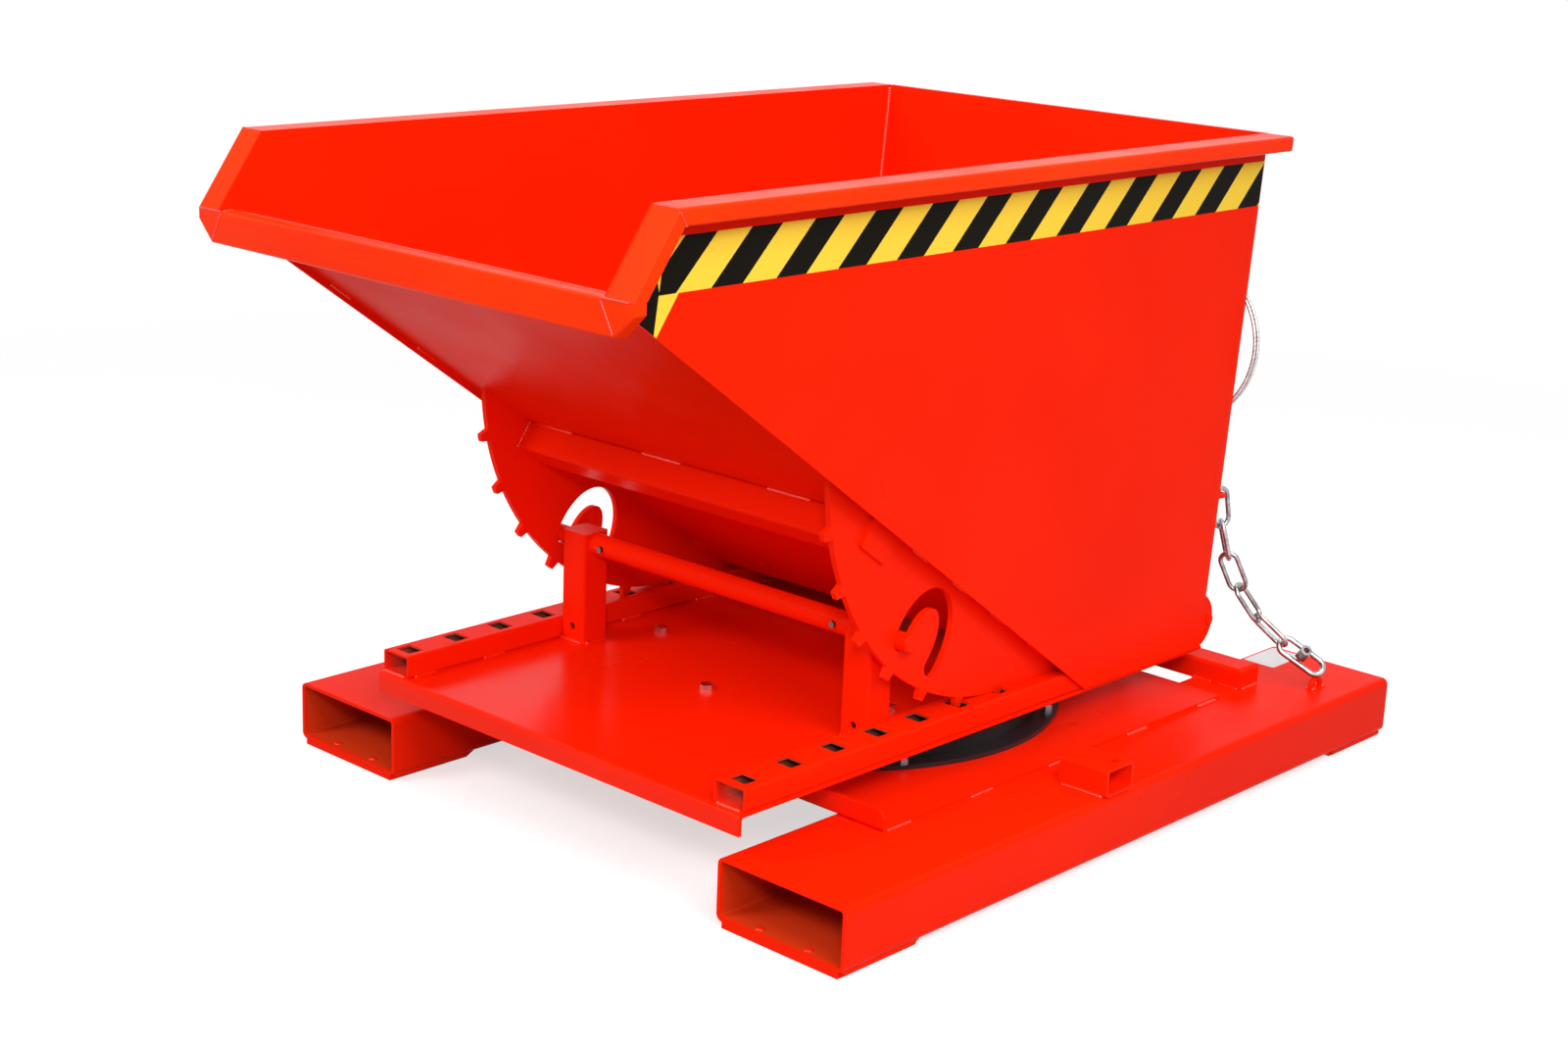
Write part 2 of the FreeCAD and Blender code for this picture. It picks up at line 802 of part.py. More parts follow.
def crescent(x):
    """The slot that the guide axle needs as the rocker rolls without slipping."""
    width = axle_diameter / 2 + crescent_play
    drop = axle_z - roll_z
    sides = {1: [], -1: []}
    ends = []
    for step in range(crescent_steps + 1):
        turn = math.radians(max_tilt) * step / crescent_steps
        cos, sin = math.cos(turn), math.sin(turn)
        lead = axle_reach - roll_radius * turn
        middle = V(x, contact_y - (lead * cos - drop * sin), roll_z + lead * sin + drop * cos)
        back = roll_radius * cos + lead * sin + drop * cos
        rise = lead * cos - roll_radius * sin - drop * sin
        heading = unit(V(0, back, rise))
        across = ALONG_X.cross(heading)
        for side in sides:
            sides[side].append(middle + across * (side * width))
        ends.append((middle, heading))
    left, right = Part.BSplineCurve(), Part.BSplineCurve()
    left.interpolate(sides[1])
    right.interpolate(sides[-1])
    first = ends[0][0] - ends[0][1] * width
    last = ends[-1][0] + ends[-1][1] * width
    wire = Part.Wire([
        left.toShape(), Part.Arc(sides[1][-1], last, sides[-1][-1]).toShape(),
        right.toShape(), Part.Arc(sides[-1][0], first, sides[1][0]).toShape()])
    slot = Part.Face(wire).extrude(V(rocker_thickness + 2 * overrun, 0, 0))
    slot.translate(V(-overrun, 0, 0))
    return slot


def rocker():
    x = rail_x - rocker_thickness / 2
    teeth = [rocker_tooth(x, step) for step in range(tooth_count)]
    plate = joined([rocker_blank(x), brace_pad(x)] + teeth)
    notch = block((-brace_end, brace_end), brace_y, (brace_z[0], brace_z[1] + overrun))
    notch.rotate(brace_foot, ALONG_X, -chute_angle)
    return plate.cut([crescent(x), notch])


# Latch behind the skip, stored in its released place


def latch_lug():
    """A round-backed plate behind the rear wall that carries the latch shaft."""
    x = (wall_inside - lug_thickness, wall_inside)
    lean = unit(V(0, rear_slope, 1))
    out = V(0, lean.z, -lean.y)
    face = V(x[0], rear_y(latch_z), latch_z)
    half = math.sqrt(lug_radius ** 2 - (lug_radius - lug_bulge) ** 2)
    low, back, high = face - lean * half, face + out * lug_bulge, face + lean * half
    outline = Part.Wire([Part.Arc(low, back, high).toShape(), Part.LineSegment(high, low).toShape()])
    plate = Part.Face(outline).extrude(V(lug_thickness, 0, 0))
    bore = Part.makeCylinder(
        latch_shaft_diameter / 2 + shaft_gap, lug_thickness + 2 * overrun,
        V(x[0] - overrun, latch_y, latch_z),
        ALONG_X)
    return plate.cut(bore)


def latch_shaft():
    side = wall_inside + latch_shaft_end
    return Part.makeCylinder(latch_shaft_diameter / 2, 2 * side, V(-side, latch_y, latch_z), ALONG_X)


def on_shaft(plate, x):
    """Fix a plate to the latch shaft with a boss, and turn it to the released place."""
    thickness = x[1] - x[0]
    start = V(x[0], latch_y, latch_z)
    boss = Part.makeCylinder(hook_boss_radius, thickness, start, ALONG_X)
    bore = Part.makeCylinder(
        latch_shaft_diameter / 2 + seat_gap, thickness + 2 * overrun, start - ALONG_X * overrun, ALONG_X)
    piece = joined([boss, plate]).cut(bore)
    piece.rotate(latch_centre, ALONG_X, latch_release)
    return piece


def latch_hook():
    x = (hook_spread / 2 - hook_thickness / 2, hook_spread / 2 + hook_thickness / 2)
    front = tray_rear + hook_gap
    back = front + hook_arm
    nose_top = tray_bottom - hook_play
    nose_tip = tray_rear - hook_reach
    low = nose_top - hook_nose
    outline = (
        (front, latch_z), (front, nose_top), (nose_tip, nose_top),
        (nose_tip, low), (back, low), (back, latch_z))
    return on_shaft(prism(outline, x), x)


def latch_lever():
    middle = lead_x()
    x = (middle - lever_thickness / 2, middle + lever_thickness / 2)
    end = latch_y + lever_length
    return on_shaft(block(x, (latch_y, end), (latch_z - lever_width / 2, latch_z + lever_width / 2)), x)


# Release cable


rear_up = unit(V(0, rear_slope, 1))
rear_out = V(0, rear_up.z, -rear_up.y)


def coil_centre():
    z = skip_bottom + coil_lift
    return V(wall_outside - coil_inset, rear_y(z), z) + rear_out * coil_standoff


def lead_x():
    return coil_centre().x - coil_radius


def coil_place(turn):
    """A place on the coil and its heading; it starts at the left, climbs, and steps away from the wall."""
    side = V(-math.cos(turn), 0, 0) + rear_up * math.sin(turn)
    heading = V(math.sin(turn), 0, 0) + rear_up * math.cos(turn)
    step = coil_pitch / (2 * math.pi)
    place = coil_centre() + side * coil_radius + rear_out * (step * turn)
    return place, unit(heading * coil_radius + rear_out * step)


def biarc(start, start_heading, end, end_heading):
    """Two arcs that leave and arrive along the given headings."""
    chord = end - start
    both = start_heading + end_heading
    bend = 2 * (1 - start_heading.dot(end_heading))
    along = chord.dot(both)
    reach = (math.sqrt(along ** 2 + bend * chord.dot(chord)) - along) / bend
    first = start + start_heading * reach
    last = end - end_heading * reach
    joint = (first + last) / 2
    arcs = []
    for corner, tail, head in ((first, start, joint), (last, joint, end)):
        back, ahead = unit(tail - corner), unit(head - corner)
        half = math.acos(max(-1, min(1, back.dot(ahead)))) / 2
        middle = corner + unit(back + ahead) * (reach * (1 / math.cos(half) - math.tan(half)))
        arcs.append(Part.Arc(tail, middle, head).toShape())
    return arcs


def swept(edges, start, heading, diameter):
    """A round tube along a path of straight runs and arcs."""
    ring = Part.Wire(Part.Circle(start, heading, diameter / 2).toShape())
    return Part.Wire(edges).makePipeShell([ring], True, False)


def coil_turn():
    return 2 * math.pi * coil_turns


def release_cable_coil():
    place = coil_place(0)[0]
    start = place - rear_up * cable_diameter
    edges = [Part.LineSegment(start, place).toShape()]
    count = math.ceil(coil_turns * coil_arcs_per_turn)
    before, before_heading = place, rear_up
    for step in range(1, count + 1):
        after, after_heading = coil_place(coil_turn() * step / count)
        edges += biarc(before, before_heading, after, after_heading)
        before, before_heading = after, after_heading
    edges.append(Part.LineSegment(before, before + before_heading * cable_diameter).toShape())
    return swept(edges, start, rear_up, cable_diameter)


def coil_self_gap():
    """Least room between neighbouring turns, measured on points of the coil."""
    steps = 48
    count = math.ceil(coil_turns * steps)
    places = [coil_place(2 * math.pi * step / steps)[0] for step in range(count)]
    gaps = []
    for index, place in enumerate(places):
        for other in places[index + steps // 2:]:
            gaps.append(place.distanceToPoint(other) - cable_diameter)
    return min(gaps)


def lever_pad():
    """Top of the lever's far end, in the released place, where the cable's ferrule sits."""
    turn = math.radians(latch_release)
    arm = lever_length - lever_width / 2
    y = arm * math.cos(turn) - lever_width / 2 * math.sin(turn)
    z = arm * math.sin(turn) + lever_width / 2 * math.cos(turn)
    return V(lead_x(), latch_y + y, latch_z + z)


def ferrule_foot():
    rise = ferrule_diameter / 2 * math.tan(math.radians(latch_release))
    return lever_pad() + V(0, 0, rise + roll_gap)


def lever_ferrule():
    return Part.makeCylinder(ferrule_diameter / 2, ferrule_length, ferrule_foot())


def lead_points():
    top = coil_place(0)[0] - rear_up * cable_diameter
    end = ferrule_foot() + V(0, 0, ferrule_length)
    middle = [V(*point) for point in lead_route]
    return [top, top - rear_up * lead_end_run] + middle + [end + V(0, 0, lead_end_run), end]


def release_cable_lead():
    """Straight runs joined by the largest arcs that they allow."""
    points = lead_points()
    edges = []
    radii = []
    before = points[0]
    for last, point, following in zip(points, points[1:], points[2:]):
        back, ahead = unit(last - point), unit(following - point)
        cut = run_share * min((last - point).Length, (following - point).Length)
        half = math.acos(max(-1, min(1, back.dot(ahead)))) / 2
        radii.append(cut * math.tan(half))
        middle = point + unit(back + ahead) * (cut * (1 / math.cos(half) - math.tan(half)))
        edges.append(Part.LineSegment(before, point + back * cut).toShape())
        edges.append(Part.Arc(point + back * cut, middle, point + ahead * cut).toShape())
        before = point + ahead * cut
    edges.append(Part.LineSegment(before, points[-1]).toShape())
    lead = swept(edges, points[0], unit(points[1] - points[0]), cable_diameter)
    length = sum(edge.Length for edge in edges)
    full = math.pi * (cable_diameter / 2) ** 2 * length
    print("lead radii", [round(radius) for radius in radii], "volume share", round(lead.Volume / full, 4))
    return lead


def cable_end_eye():
    """The crimped ferrule on the coil's end, with an eye that hangs on the cable hook."""
    place, heading = coil_place(coil_turn())
    start = place + heading * cable_diameter
    ferrule = Part.makeCylinder(ferrule_diameter / 2, ferrule_length, start, heading)
    centre = start + heading * (ferrule_length + eye_radius)
    eye = Part.makeTorus(eye_radius, cable_diameter / 2, centre, rear_out)
    return joined([ferrule, eye])


def cable_hook():
    """A bent bar under the top of the coil."""
    lift = coil_radius - cable_diameter / 2 - roll_gap - cable_hook_rod / 2
    centre = coil_centre() - rear_out * coil_standoff + rear_up * lift
    knee = centre + rear_out * (cable_hook_reach - cable_hook_bend)
    turn = centre + rear_out * cable_hook_reach + rear_up * cable_hook_bend
    middle = turn - rear_out * cable_hook_bend
    middle = middle + (rear_out - rear_up) * (cable_hook_bend / math.sqrt(2))
    tip = turn + rear_up * cable_hook_tip
    edges = [
        Part.LineSegment(centre, knee).toShape(), Part.Arc(knee, middle, turn).toShape(),
        Part.LineSegment(turn, tip).toShape()]
    return swept(edges, centre, rear_out, cable_hook_rod)


# Chain


def chain_start():
    z = skip_bottom + chain_eye_lift
    x = wall_inside - chain_eye_inset
    return V(x, rear_y(z), z) + rear_out * chain_eye_standoff


def chain_eye():
    mean = chain_eye_span / 2
    centre = chain_start() - rear_out * mean
    leg = chain_eye_standoff - mean
    return placed(bow(chain_wire, mean, leg), centre, ALONG_X, rear_out)


def link(wire, inner_length, inner_width):
    """A round-ended link in the local XY plane, long way along Y."""
    mean = (inner_width + wire) / 2
    leg = (inner_length + wire) / 2 - mean
    upper = bow(wire, mean, leg)
    upper.translate(V(0, leg, 0))
    lower = upper.copy()
    lower.rotate(V(0, 0, 0), ALONG_Z, 180)
    return joined([upper, lower])


def link_frames():
    """Centre, lateral and heading of every link; each hangs on the crown of the one above it."""
    frames = []
    crown = chain_start()
    above = chain_wire
    sizes = [(chain_wire, chain_inner_length)] * len(link_leans) + [(quick_wire, quick_inner_length)]
    for lean, roll, size in zip(link_leans + (quick_lean,), link_rolls + (quick_roll,), sizes):
        wire, inner = size
        heading = unit(V(*lean))
        level = unit(heading.cross(ALONG_Z))
        turn = math.radians(roll)
        lateral = level * math.cos(turn) + heading.cross(level) * math.sin(turn)
        top = crown - heading * ((above + wire) / 2 + chain_gap)
        centre = top + heading * ((inner + wire) / 2)
        frames.append((centre, lateral, heading))
        crown = centre + heading * ((inner + wire) / 2)
        above = wire
    return frames


def chain_link(frame):
    return placed(link(chain_wire, chain_inner_length, chain_inner_width), *frame)


def quick_link(frame):
    return placed(link(quick_wire, quick_inner_length, quick_inner_width), *frame)


def quick_link_sleeve(frame):
    """The screw sleeve on one long side of the quick link."""
    mean = (quick_inner_width + quick_wire) / 2
    sleeve = hexagon(V(0, 0, 0), quick_sleeve_across, quick_sleeve_length)
    bore = Part.makeCylinder(quick_wire / 2 + shaft_gap, quick_sleeve_length + 2 * overrun, V(0, 0, -overrun))
    sleeve = sleeve.cut(bore)
    sleeve.rotate(V(0, 0, 0), ALONG_X, -90)
    sleeve.translate(V(mean, -quick_sleeve_length / 2, 0))
    return placed(sleeve, *frame)


# Nodes


def pair(name, shape):
    return {"left_" + name: mirrored(shape), "right_" + name: shape}


def nodes():
    found = {}
    found.update(pair("fork_pocket", fork_pocket()))
    found.update(pair("front_foot", front_foot()))
    found.update(pair("rear_foot", rear_foot()))
    found["turntable_plate"] = turntable_plate()
    found["rear_cross_member"] = rear_cross_member()
    found["lock_receiver"] = lock_receiver()
    found["chain_staple"] = chain_staple()
    found["lower_slewing_ring"] = lower_ring()
    found["bearing_balls"] = bearing_balls()
    found["ring_bolts"] = bolts(ring_bolt_places(plate_top + ring_flange), plate_thickness + ring_flange)
    found["upper_slewing_ring"] = upper_ring()
    found["tray"] = tray()
    found["tray_bolts"] = bolts(tray_bolt_places(tray_top), tray_top - tray_bottom + ring_flange)
    found.update(pair("rail", rail()))
    found.update(pair("post", post()))
    found["guide_axle"] = guide_axle()
    found["axle_sleeve"] = axle_sleeve()
    found["axle_set_screws"] = axle_set_screws()
    found["roll_centre_plugs"] = roll_centre_plugs()
    found.update(pair("side_wall", side_wall()))
    found["chute_and_floor"] = chute_and_floor()
    found["rear_wall"] = rear_wall()
    found.update(pair("top_rim", top_rim()))
    found.update(pair("front_rim", front_rim()))
    found["pouring_lip"] = pouring_lip()
    found.update(pair("rocker", rocker()))
    found["cross_brace"] = cross_brace()
    found.update(pair("brace_cap", brace_cap()))
    found.update(pair("latch_lug", latch_lug()))
    found["latch_shaft"] = latch_shaft()
    found.update(pair("latch_hook", latch_hook()))
    found["latch_lever"] = latch_lever()
    found["cable_hook"] = cable_hook()
    found["release_cable_coil"] = release_cable_coil()
    found["release_cable_lead"] = release_cable_lead()
    found["lever_ferrule"] = lever_ferrule()
    found["cable_end_eye"] = cable_end_eye()
    found["chain_eye"] = chain_eye()
    frames = link_frames()
    for number, frame in enumerate(frames[:-1], 1):
        found["chain_link_%d" % number] = chain_link(frame)
    found["quick_link"] = quick_link(frames[-1])
    found["quick_link_sleeve"] = quick_link_sleeve(frames[-1])
    return found


os.makedirs("parts", exist_ok=True)
for node, shape in nodes().items():
    shape.exportStep("parts/" + node + ".step")
print("least gap between turns of the coil", round(coil_self_gap(), 2))
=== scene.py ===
import json
import math
import bmesh
import bpy
from mathutils import Matrix, Vector


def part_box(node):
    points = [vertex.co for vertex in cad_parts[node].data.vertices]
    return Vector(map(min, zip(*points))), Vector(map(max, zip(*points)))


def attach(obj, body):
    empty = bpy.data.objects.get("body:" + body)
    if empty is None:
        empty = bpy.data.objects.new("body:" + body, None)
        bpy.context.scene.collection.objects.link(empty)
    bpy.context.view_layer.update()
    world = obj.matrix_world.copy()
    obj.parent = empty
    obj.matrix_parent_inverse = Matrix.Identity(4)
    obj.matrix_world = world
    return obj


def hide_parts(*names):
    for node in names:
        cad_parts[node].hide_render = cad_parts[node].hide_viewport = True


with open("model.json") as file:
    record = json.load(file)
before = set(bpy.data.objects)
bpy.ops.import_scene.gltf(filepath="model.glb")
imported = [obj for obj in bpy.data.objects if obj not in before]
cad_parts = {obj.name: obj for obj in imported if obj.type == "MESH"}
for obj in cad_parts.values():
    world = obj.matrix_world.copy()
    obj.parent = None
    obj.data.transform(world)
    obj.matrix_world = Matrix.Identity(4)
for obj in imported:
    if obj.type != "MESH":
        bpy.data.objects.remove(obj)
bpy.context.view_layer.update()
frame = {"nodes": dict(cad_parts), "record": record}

# An orange steel tipping skip on a turntable base. Metres; the ground is z = 0 and the skip pours towards -Y.

nodes = frame["nodes"]
scene = bpy.context.scene
scene.view_settings.view_transform = "Standard"
X, Y, Z = Vector((1, 0, 0)), Vector((0, 1, 0)), Vector((0, 0, 1))
NEAR = 1e-5
TINY = 1e-9


# Camera

CAMERA_PLACE = Vector((2.1554, -2.4142, 1.2485))
CAMERA_TURN = math.radians(42.42)
CAMERA_DROP = math.radians(15.72)
CAMERA_ROLL = math.radians(2.30)
CAMERA_LENS = 57.22
CAMERA_SENSOR = 36
CAMERA_REACH = 60


def add_camera():
    ahead = math.cos(CAMERA_DROP)
    back = Vector((math.sin(CAMERA_TURN) * ahead, -math.cos(CAMERA_TURN) * ahead, math.sin(CAMERA_DROP)))
    level = Vector((math.cos(CAMERA_TURN), math.sin(CAMERA_TURN), 0))
    rise = back.cross(level)
    right = level * math.cos(CAMERA_ROLL) + rise * math.sin(CAMERA_ROLL)
    up = rise * math.cos(CAMERA_ROLL) - level * math.sin(CAMERA_ROLL)
    bpy.ops.object.camera_add()
    camera = bpy.context.object
    camera.name = "camera"
    camera.data.sensor_width = CAMERA_SENSOR
    camera.data.lens = CAMERA_LENS
    camera.data.clip_end = CAMERA_REACH
    camera.matrix_world = Matrix((
        (right.x, up.x, back.x, CAMERA_PLACE.x), (right.y, up.y, back.y, CAMERA_PLACE.y),
        (right.z, up.z, back.z, CAMERA_PLACE.z), (0, 0, 0, 1)))
    scene.camera = camera


add_camera()


# Places that the pieces share with the solids

WALL_OUT = 0.337
WALL_IN = 0.334
RIM_OUT = 0.377
CHUTE = math.radians(35.2)
CHUTE_SLOPE = math.tan(CHUTE)
LIP_FRONT = -0.70587
LIP_BACK = -0.68587
LIP_TOP = 0.777
SKIP_TOP = 0.868
WALL_FOOT = 0.150
CORNER_Y = 0.18387
REAR_FOOT_Y = 0.45387
REAR_SLOPE = 0.0831
REAR_SHEET = 0.004
SKIP_SHEET = 0.003
SKIRT_PROUD = 0.008
FLOOR_TOP = 0.189
TRAY_TOP = 0.148
POCKET_TOP = 0.088
POCKET_IN = 0.300
FOOT_TOP = 0.008
REAR_UP = Vector((0, REAR_SLOPE, 1)).normalized()
REAR_OUT = Vector((0, REAR_UP.z, -REAR_UP.y))
CHUTE_UP = Vector((0, -math.cos(CHUTE), math.sin(CHUTE)))
CHUTE_OUT = Vector((0, math.sin(CHUTE), math.cos(CHUTE)))


def rear_y(z):
    """The outer face of the rear wall."""
    return REAR_FOOT_Y + (z - WALL_FOOT) * REAR_SLOPE


def rear_in(z):
    """The inner face of the rear wall."""
    return rear_y(z) - REAR_SHEET / REAR_OUT.y


def wall_edge_z(y):
    """The slanted lower edge of the side walls."""
    return WALL_FOOT + (CORNER_Y - y) * CHUTE_SLOPE


def chute_top(x, y):
    """A point on the upper face of the chute."""
    return Vector((x, y, wall_edge_z(y) + (SKIRT_PROUD + SKIP_SHEET) / math.cos(CHUTE)))


def chute_under(x, y):
    """A point on the lower face of the chute."""
    return Vector((x, y, wall_edge_z(y) + SKIRT_PROUD / math.cos(CHUTE)))


# Working by hand: start a primitive, select by place, cut, finish


def start(add, name, **how):
    """Add a primitive with nothing else selected, put its place in its mesh, and open it for editing."""
    bpy.ops.object.select_all(action="DESELECT")
    add(**how)
    piece = bpy.context.object
    piece.name = name
    piece.data.name = name
    bpy.ops.object.transform_apply(location=True, rotation=True, scale=True)
    bpy.ops.object.mode_set(mode="EDIT")
    return piece


def pick_points(piece, test):
    """Select the points whose place passes a test."""
    bpy.ops.mesh.select_mode(type="VERT")
    bpy.ops.mesh.select_all(action="DESELECT")
    shape = bmesh.from_edit_mesh(piece.data)
    for point in shape.verts:
        point.select_set(test(point.co))
    shape.select_flush_mode()
    bmesh.update_edit_mesh(piece.data)


def pick_faces(piece, test):
    """Select the faces whose middle and normal pass a test."""
    bpy.ops.mesh.select_mode(type="FACE")
    bpy.ops.mesh.select_all(action="DESELECT")
    shape = bmesh.from_edit_mesh(piece.data)
    for face in shape.faces:
        face.select_set(test(face.calc_center_median(), face.normal))
    shape.select_flush_mode()
    bmesh.update_edit_mesh(piece.data)


def pick_edges(piece, test):
    """Select the edges whose two ends both pass a test."""
    bpy.ops.mesh.select_mode(type="EDGE")
    bpy.ops.mesh.select_all(action="DESELECT")
    shape = bmesh.from_edit_mesh(piece.data)
    for edge in shape.edges:
        edge.select_set(all(test(point.co) for point in edge.verts))
    shape.select_flush_mode()
    bmesh.update_edit_mesh(piece.data)


def cut(place, normal, keep_inside=False):
    """Cut the whole piece along a plane; what lies past the plane may be cut away."""
    bpy.ops.mesh.select_mode(type="VERT")
    bpy.ops.mesh.select_all(action="SELECT")
    bpy.ops.mesh.bisect(plane_co=place, plane_no=normal, clear_outer=keep_inside)


def resize(by, about):
    bpy.ops.transform.resize(value=by, center_override=about)


def apply_modifier(piece, kind, **values):
    modifier = piece.modifiers.new(kind.lower(), kind)
    for key, value in values.items():
        setattr(modifier, key, value)
    bpy.ops.object.modifier_apply(modifier=modifier.name)


def close_edit():
    bpy.ops.object.mode_set(mode="OBJECT")


def only(piece):
    bpy.ops.object.select_all(action="DESELECT")
    piece.select_set(True)
    bpy.context.view_layer.objects.active = piece


def copy_of(piece):
    only(piece)
    bpy.ops.object.duplicate(linked=False)
    return bpy.context.object


def join(pieces, name):
    bpy.ops.object.select_all(action="DESELECT")
    for piece in pieces:
        piece.select_set(True)
    bpy.context.view_layer.objects.active = pieces[0]
    bpy.ops.object.join()
    whole = bpy.context.object
    whole.name = name
    whole.data.name = name
    return whole


def give(piece, material, body):
    piece.data.materials.clear()
    piece.data.materials.append(material)
    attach(piece, body)


# Finishes: effects that several finishes share are groups. A relief is its strength and its depth in metres

NOISE_ROUGHNESS = 0.55
NOISE_START, NOISE_END = 0.3, 0.7
DRIFT_SCALE = 3.0
DULL_SCALE = 9.0
SOFT_DETAIL = 2.0
PEEL_DETAIL = 1.0
DULL_LOW, DULL_HIGH = -0.03, 0.06
GRAIN_DETAIL = 4.0
GRAIN_ROUGHNESS = 0.6
CLOUD_SHARE = 0.22
CLOUD_DULL_LOW, CLOUD_DULL_HIGH = -0.06, 0.1
GRAIN_START, GRAIN_END = 0.35, 0.65
COAT_RELIEF = (0.08, 0.0002)
METAL_RELIEF = (0.15, 0.0003)
PAINT_PEEL = 130.0
FILM_PEEL = 900.0


def new_group(name, inputs):
    """A group with the given inputs, which puts out a colour, a roughness and a height."""
    outputs = (("Colour", "Color"), ("Roughness", "Float"), ("Height", "Float"))
    tree = bpy.data.node_groups.new(name, "ShaderNodeTree")
    for way, sockets in (("INPUT", inputs), ("OUTPUT", outputs)):
        for label, kind in sockets:
            tree.interface.new_socket(label, in_out=way, socket_type="NodeSocket" + kind)
    return tree, tree.nodes.new("NodeGroupInput").outputs, tree.nodes.new("NodeGroupOutput").inputs


def link(tree, source, target):
    """Join a socket to an input, or set the input where the source is a plain number."""
    if isinstance(source, (int, float)):
        target.default_value = source
    else:
        tree.links.new(source, target)


def noise(tree, scale, detail, roughness=NOISE_ROUGHNESS):
    texture = tree.nodes.new("ShaderNodeTexNoise")
    link(tree, scale, texture.inputs["Scale"])
    texture.inputs["Detail"].default_value = detail
    texture.inputs["Roughness"].default_value = roughness
    tree.links.new(tree.nodes.new("ShaderNodeTexCoord").outputs["Object"], texture.inputs["Vector"])
    return texture.outputs["Fac"]


def spread(tree, source, low, high, start=NOISE_START, end=NOISE_END):
    """Stretch a value's range from start to end over low to high."""
    node = tree.nodes.new("ShaderNodeMapRange")
    node.inputs["From Min"].default_value = start
    node.inputs["From Max"].default_value = end
    link(tree, low, node.inputs["To Min"])
    link(tree, high, node.inputs["To Max"])
    tree.links.new(source, node.inputs["Value"])
    return node.outputs["Result"]


def blend(tree, share, first, second):
    node = tree.nodes.new("ShaderNodeMix")
    node.data_type = "RGBA"
    tree.links.new(share, node.inputs["Factor"])
    tree.links.new(first, node.inputs["A"])
    tree.links.new(second, node.inputs["B"])
    return node.outputs["Result"]


def add_up(tree, first, second, way="ADD"):
    """Add two values, or join them by another way of the Math node."""
    node = tree.nodes.new("ShaderNodeMath")
    node.operation = way
    link(tree, first, node.inputs[0])
    link(tree, second, node.inputs[1])
    return node.outputs["Value"]


def sprayed_coat():
    """A sprayed coat: slow drift in colour, patches of duller gloss, and fine orange peel."""
    tree, given, out = new_group("sprayed_coat", (
        ("Colour", "Color"), ("Thin Colour", "Color"), ("Gloss Roughness", "Float"), ("Peel Scale", "Float")))
    drift = spread(tree, noise(tree, DRIFT_SCALE, SOFT_DETAIL), 0.0, 1.0)
    tree.links.new(blend(tree, drift, given["Thin Colour"], given["Colour"]), out["Colour"])
    dull = spread(tree, noise(tree, DULL_SCALE, SOFT_DETAIL), DULL_LOW, DULL_HIGH)
    tree.links.new(add_up(tree, given["Gloss Roughness"], dull), out["Roughness"])
    tree.links.new(noise(tree, given["Peel Scale"], PEEL_DETAIL), out["Height"])
    return tree


def metal_grain():
    """Bare or plated metal: fine grain, cloudy patches and a small tooth."""
    tree, given, out = new_group("metal_grain", (
        ("Light", "Color"), ("Dark", "Color"), ("Grain Scale", "Float"), ("Gloss Roughness", "Float")))
    grain = noise(tree, given["Grain Scale"], GRAIN_DETAIL, GRAIN_ROUGHNESS)
    cloud = noise(tree, add_up(tree, given["Grain Scale"], CLOUD_SHARE, "MULTIPLY"), SOFT_DETAIL)
    both = add_up(tree, add_up(tree, grain, 0.5, "MULTIPLY"), add_up(tree, cloud, 0.5, "MULTIPLY"))
    share = spread(tree, both, 0.0, 1.0, GRAIN_START, GRAIN_END)
    tree.links.new(blend(tree, share, given["Dark"], given["Light"]), out["Colour"])
    dull = spread(tree, cloud, CLOUD_DULL_LOW, CLOUD_DULL_HIGH)
    tree.links.new(add_up(tree, given["Gloss Roughness"], dull), out["Roughness"])
    tree.links.new(grain, out["Height"])
    return tree


def finish(name, group, values, relief_size):
    """A finish whose colour, gloss and fine relief come from a group with its own values."""
    material = bpy.data.materials.new(name)
    material.use_nodes = True
    tree = material.node_tree
    shader = tree.nodes["Principled BSDF"]
    effect = tree.nodes.new("ShaderNodeGroup")
    effect.node_tree = group
    for label, value in values.items():
        effect.inputs[label].default_value = value
    tree.links.new(effect.outputs["Colour"], shader.inputs["Base Color"])
    tree.links.new(effect.outputs["Roughness"], shader.inputs["Roughness"])
    relief = tree.nodes.new("ShaderNodeBump")
    relief.inputs["Strength"].default_value, relief.inputs["Distance"].default_value = relief_size
    tree.links.new(effect.outputs["Height"], relief.inputs["Height"])
    tree.links.new(relief.outputs["Normal"], shader.inputs["Normal"])
    return material, shader


COAT = sprayed_coat()
GRAIN = metal_grain()


def coat(name, colour, thin, gloss, specular, peel_scale=PAINT_PEEL):
    values = {
        "Colour": (*colour, 1), "Thin Colour": (*thin, 1), "Gloss Roughness": gloss, "Peel Scale": peel_scale}
    material, shader = finish(name, COAT, values, COAT_RELIEF)
    shader.inputs["Specular IOR Level"].default_value = specular
    return material


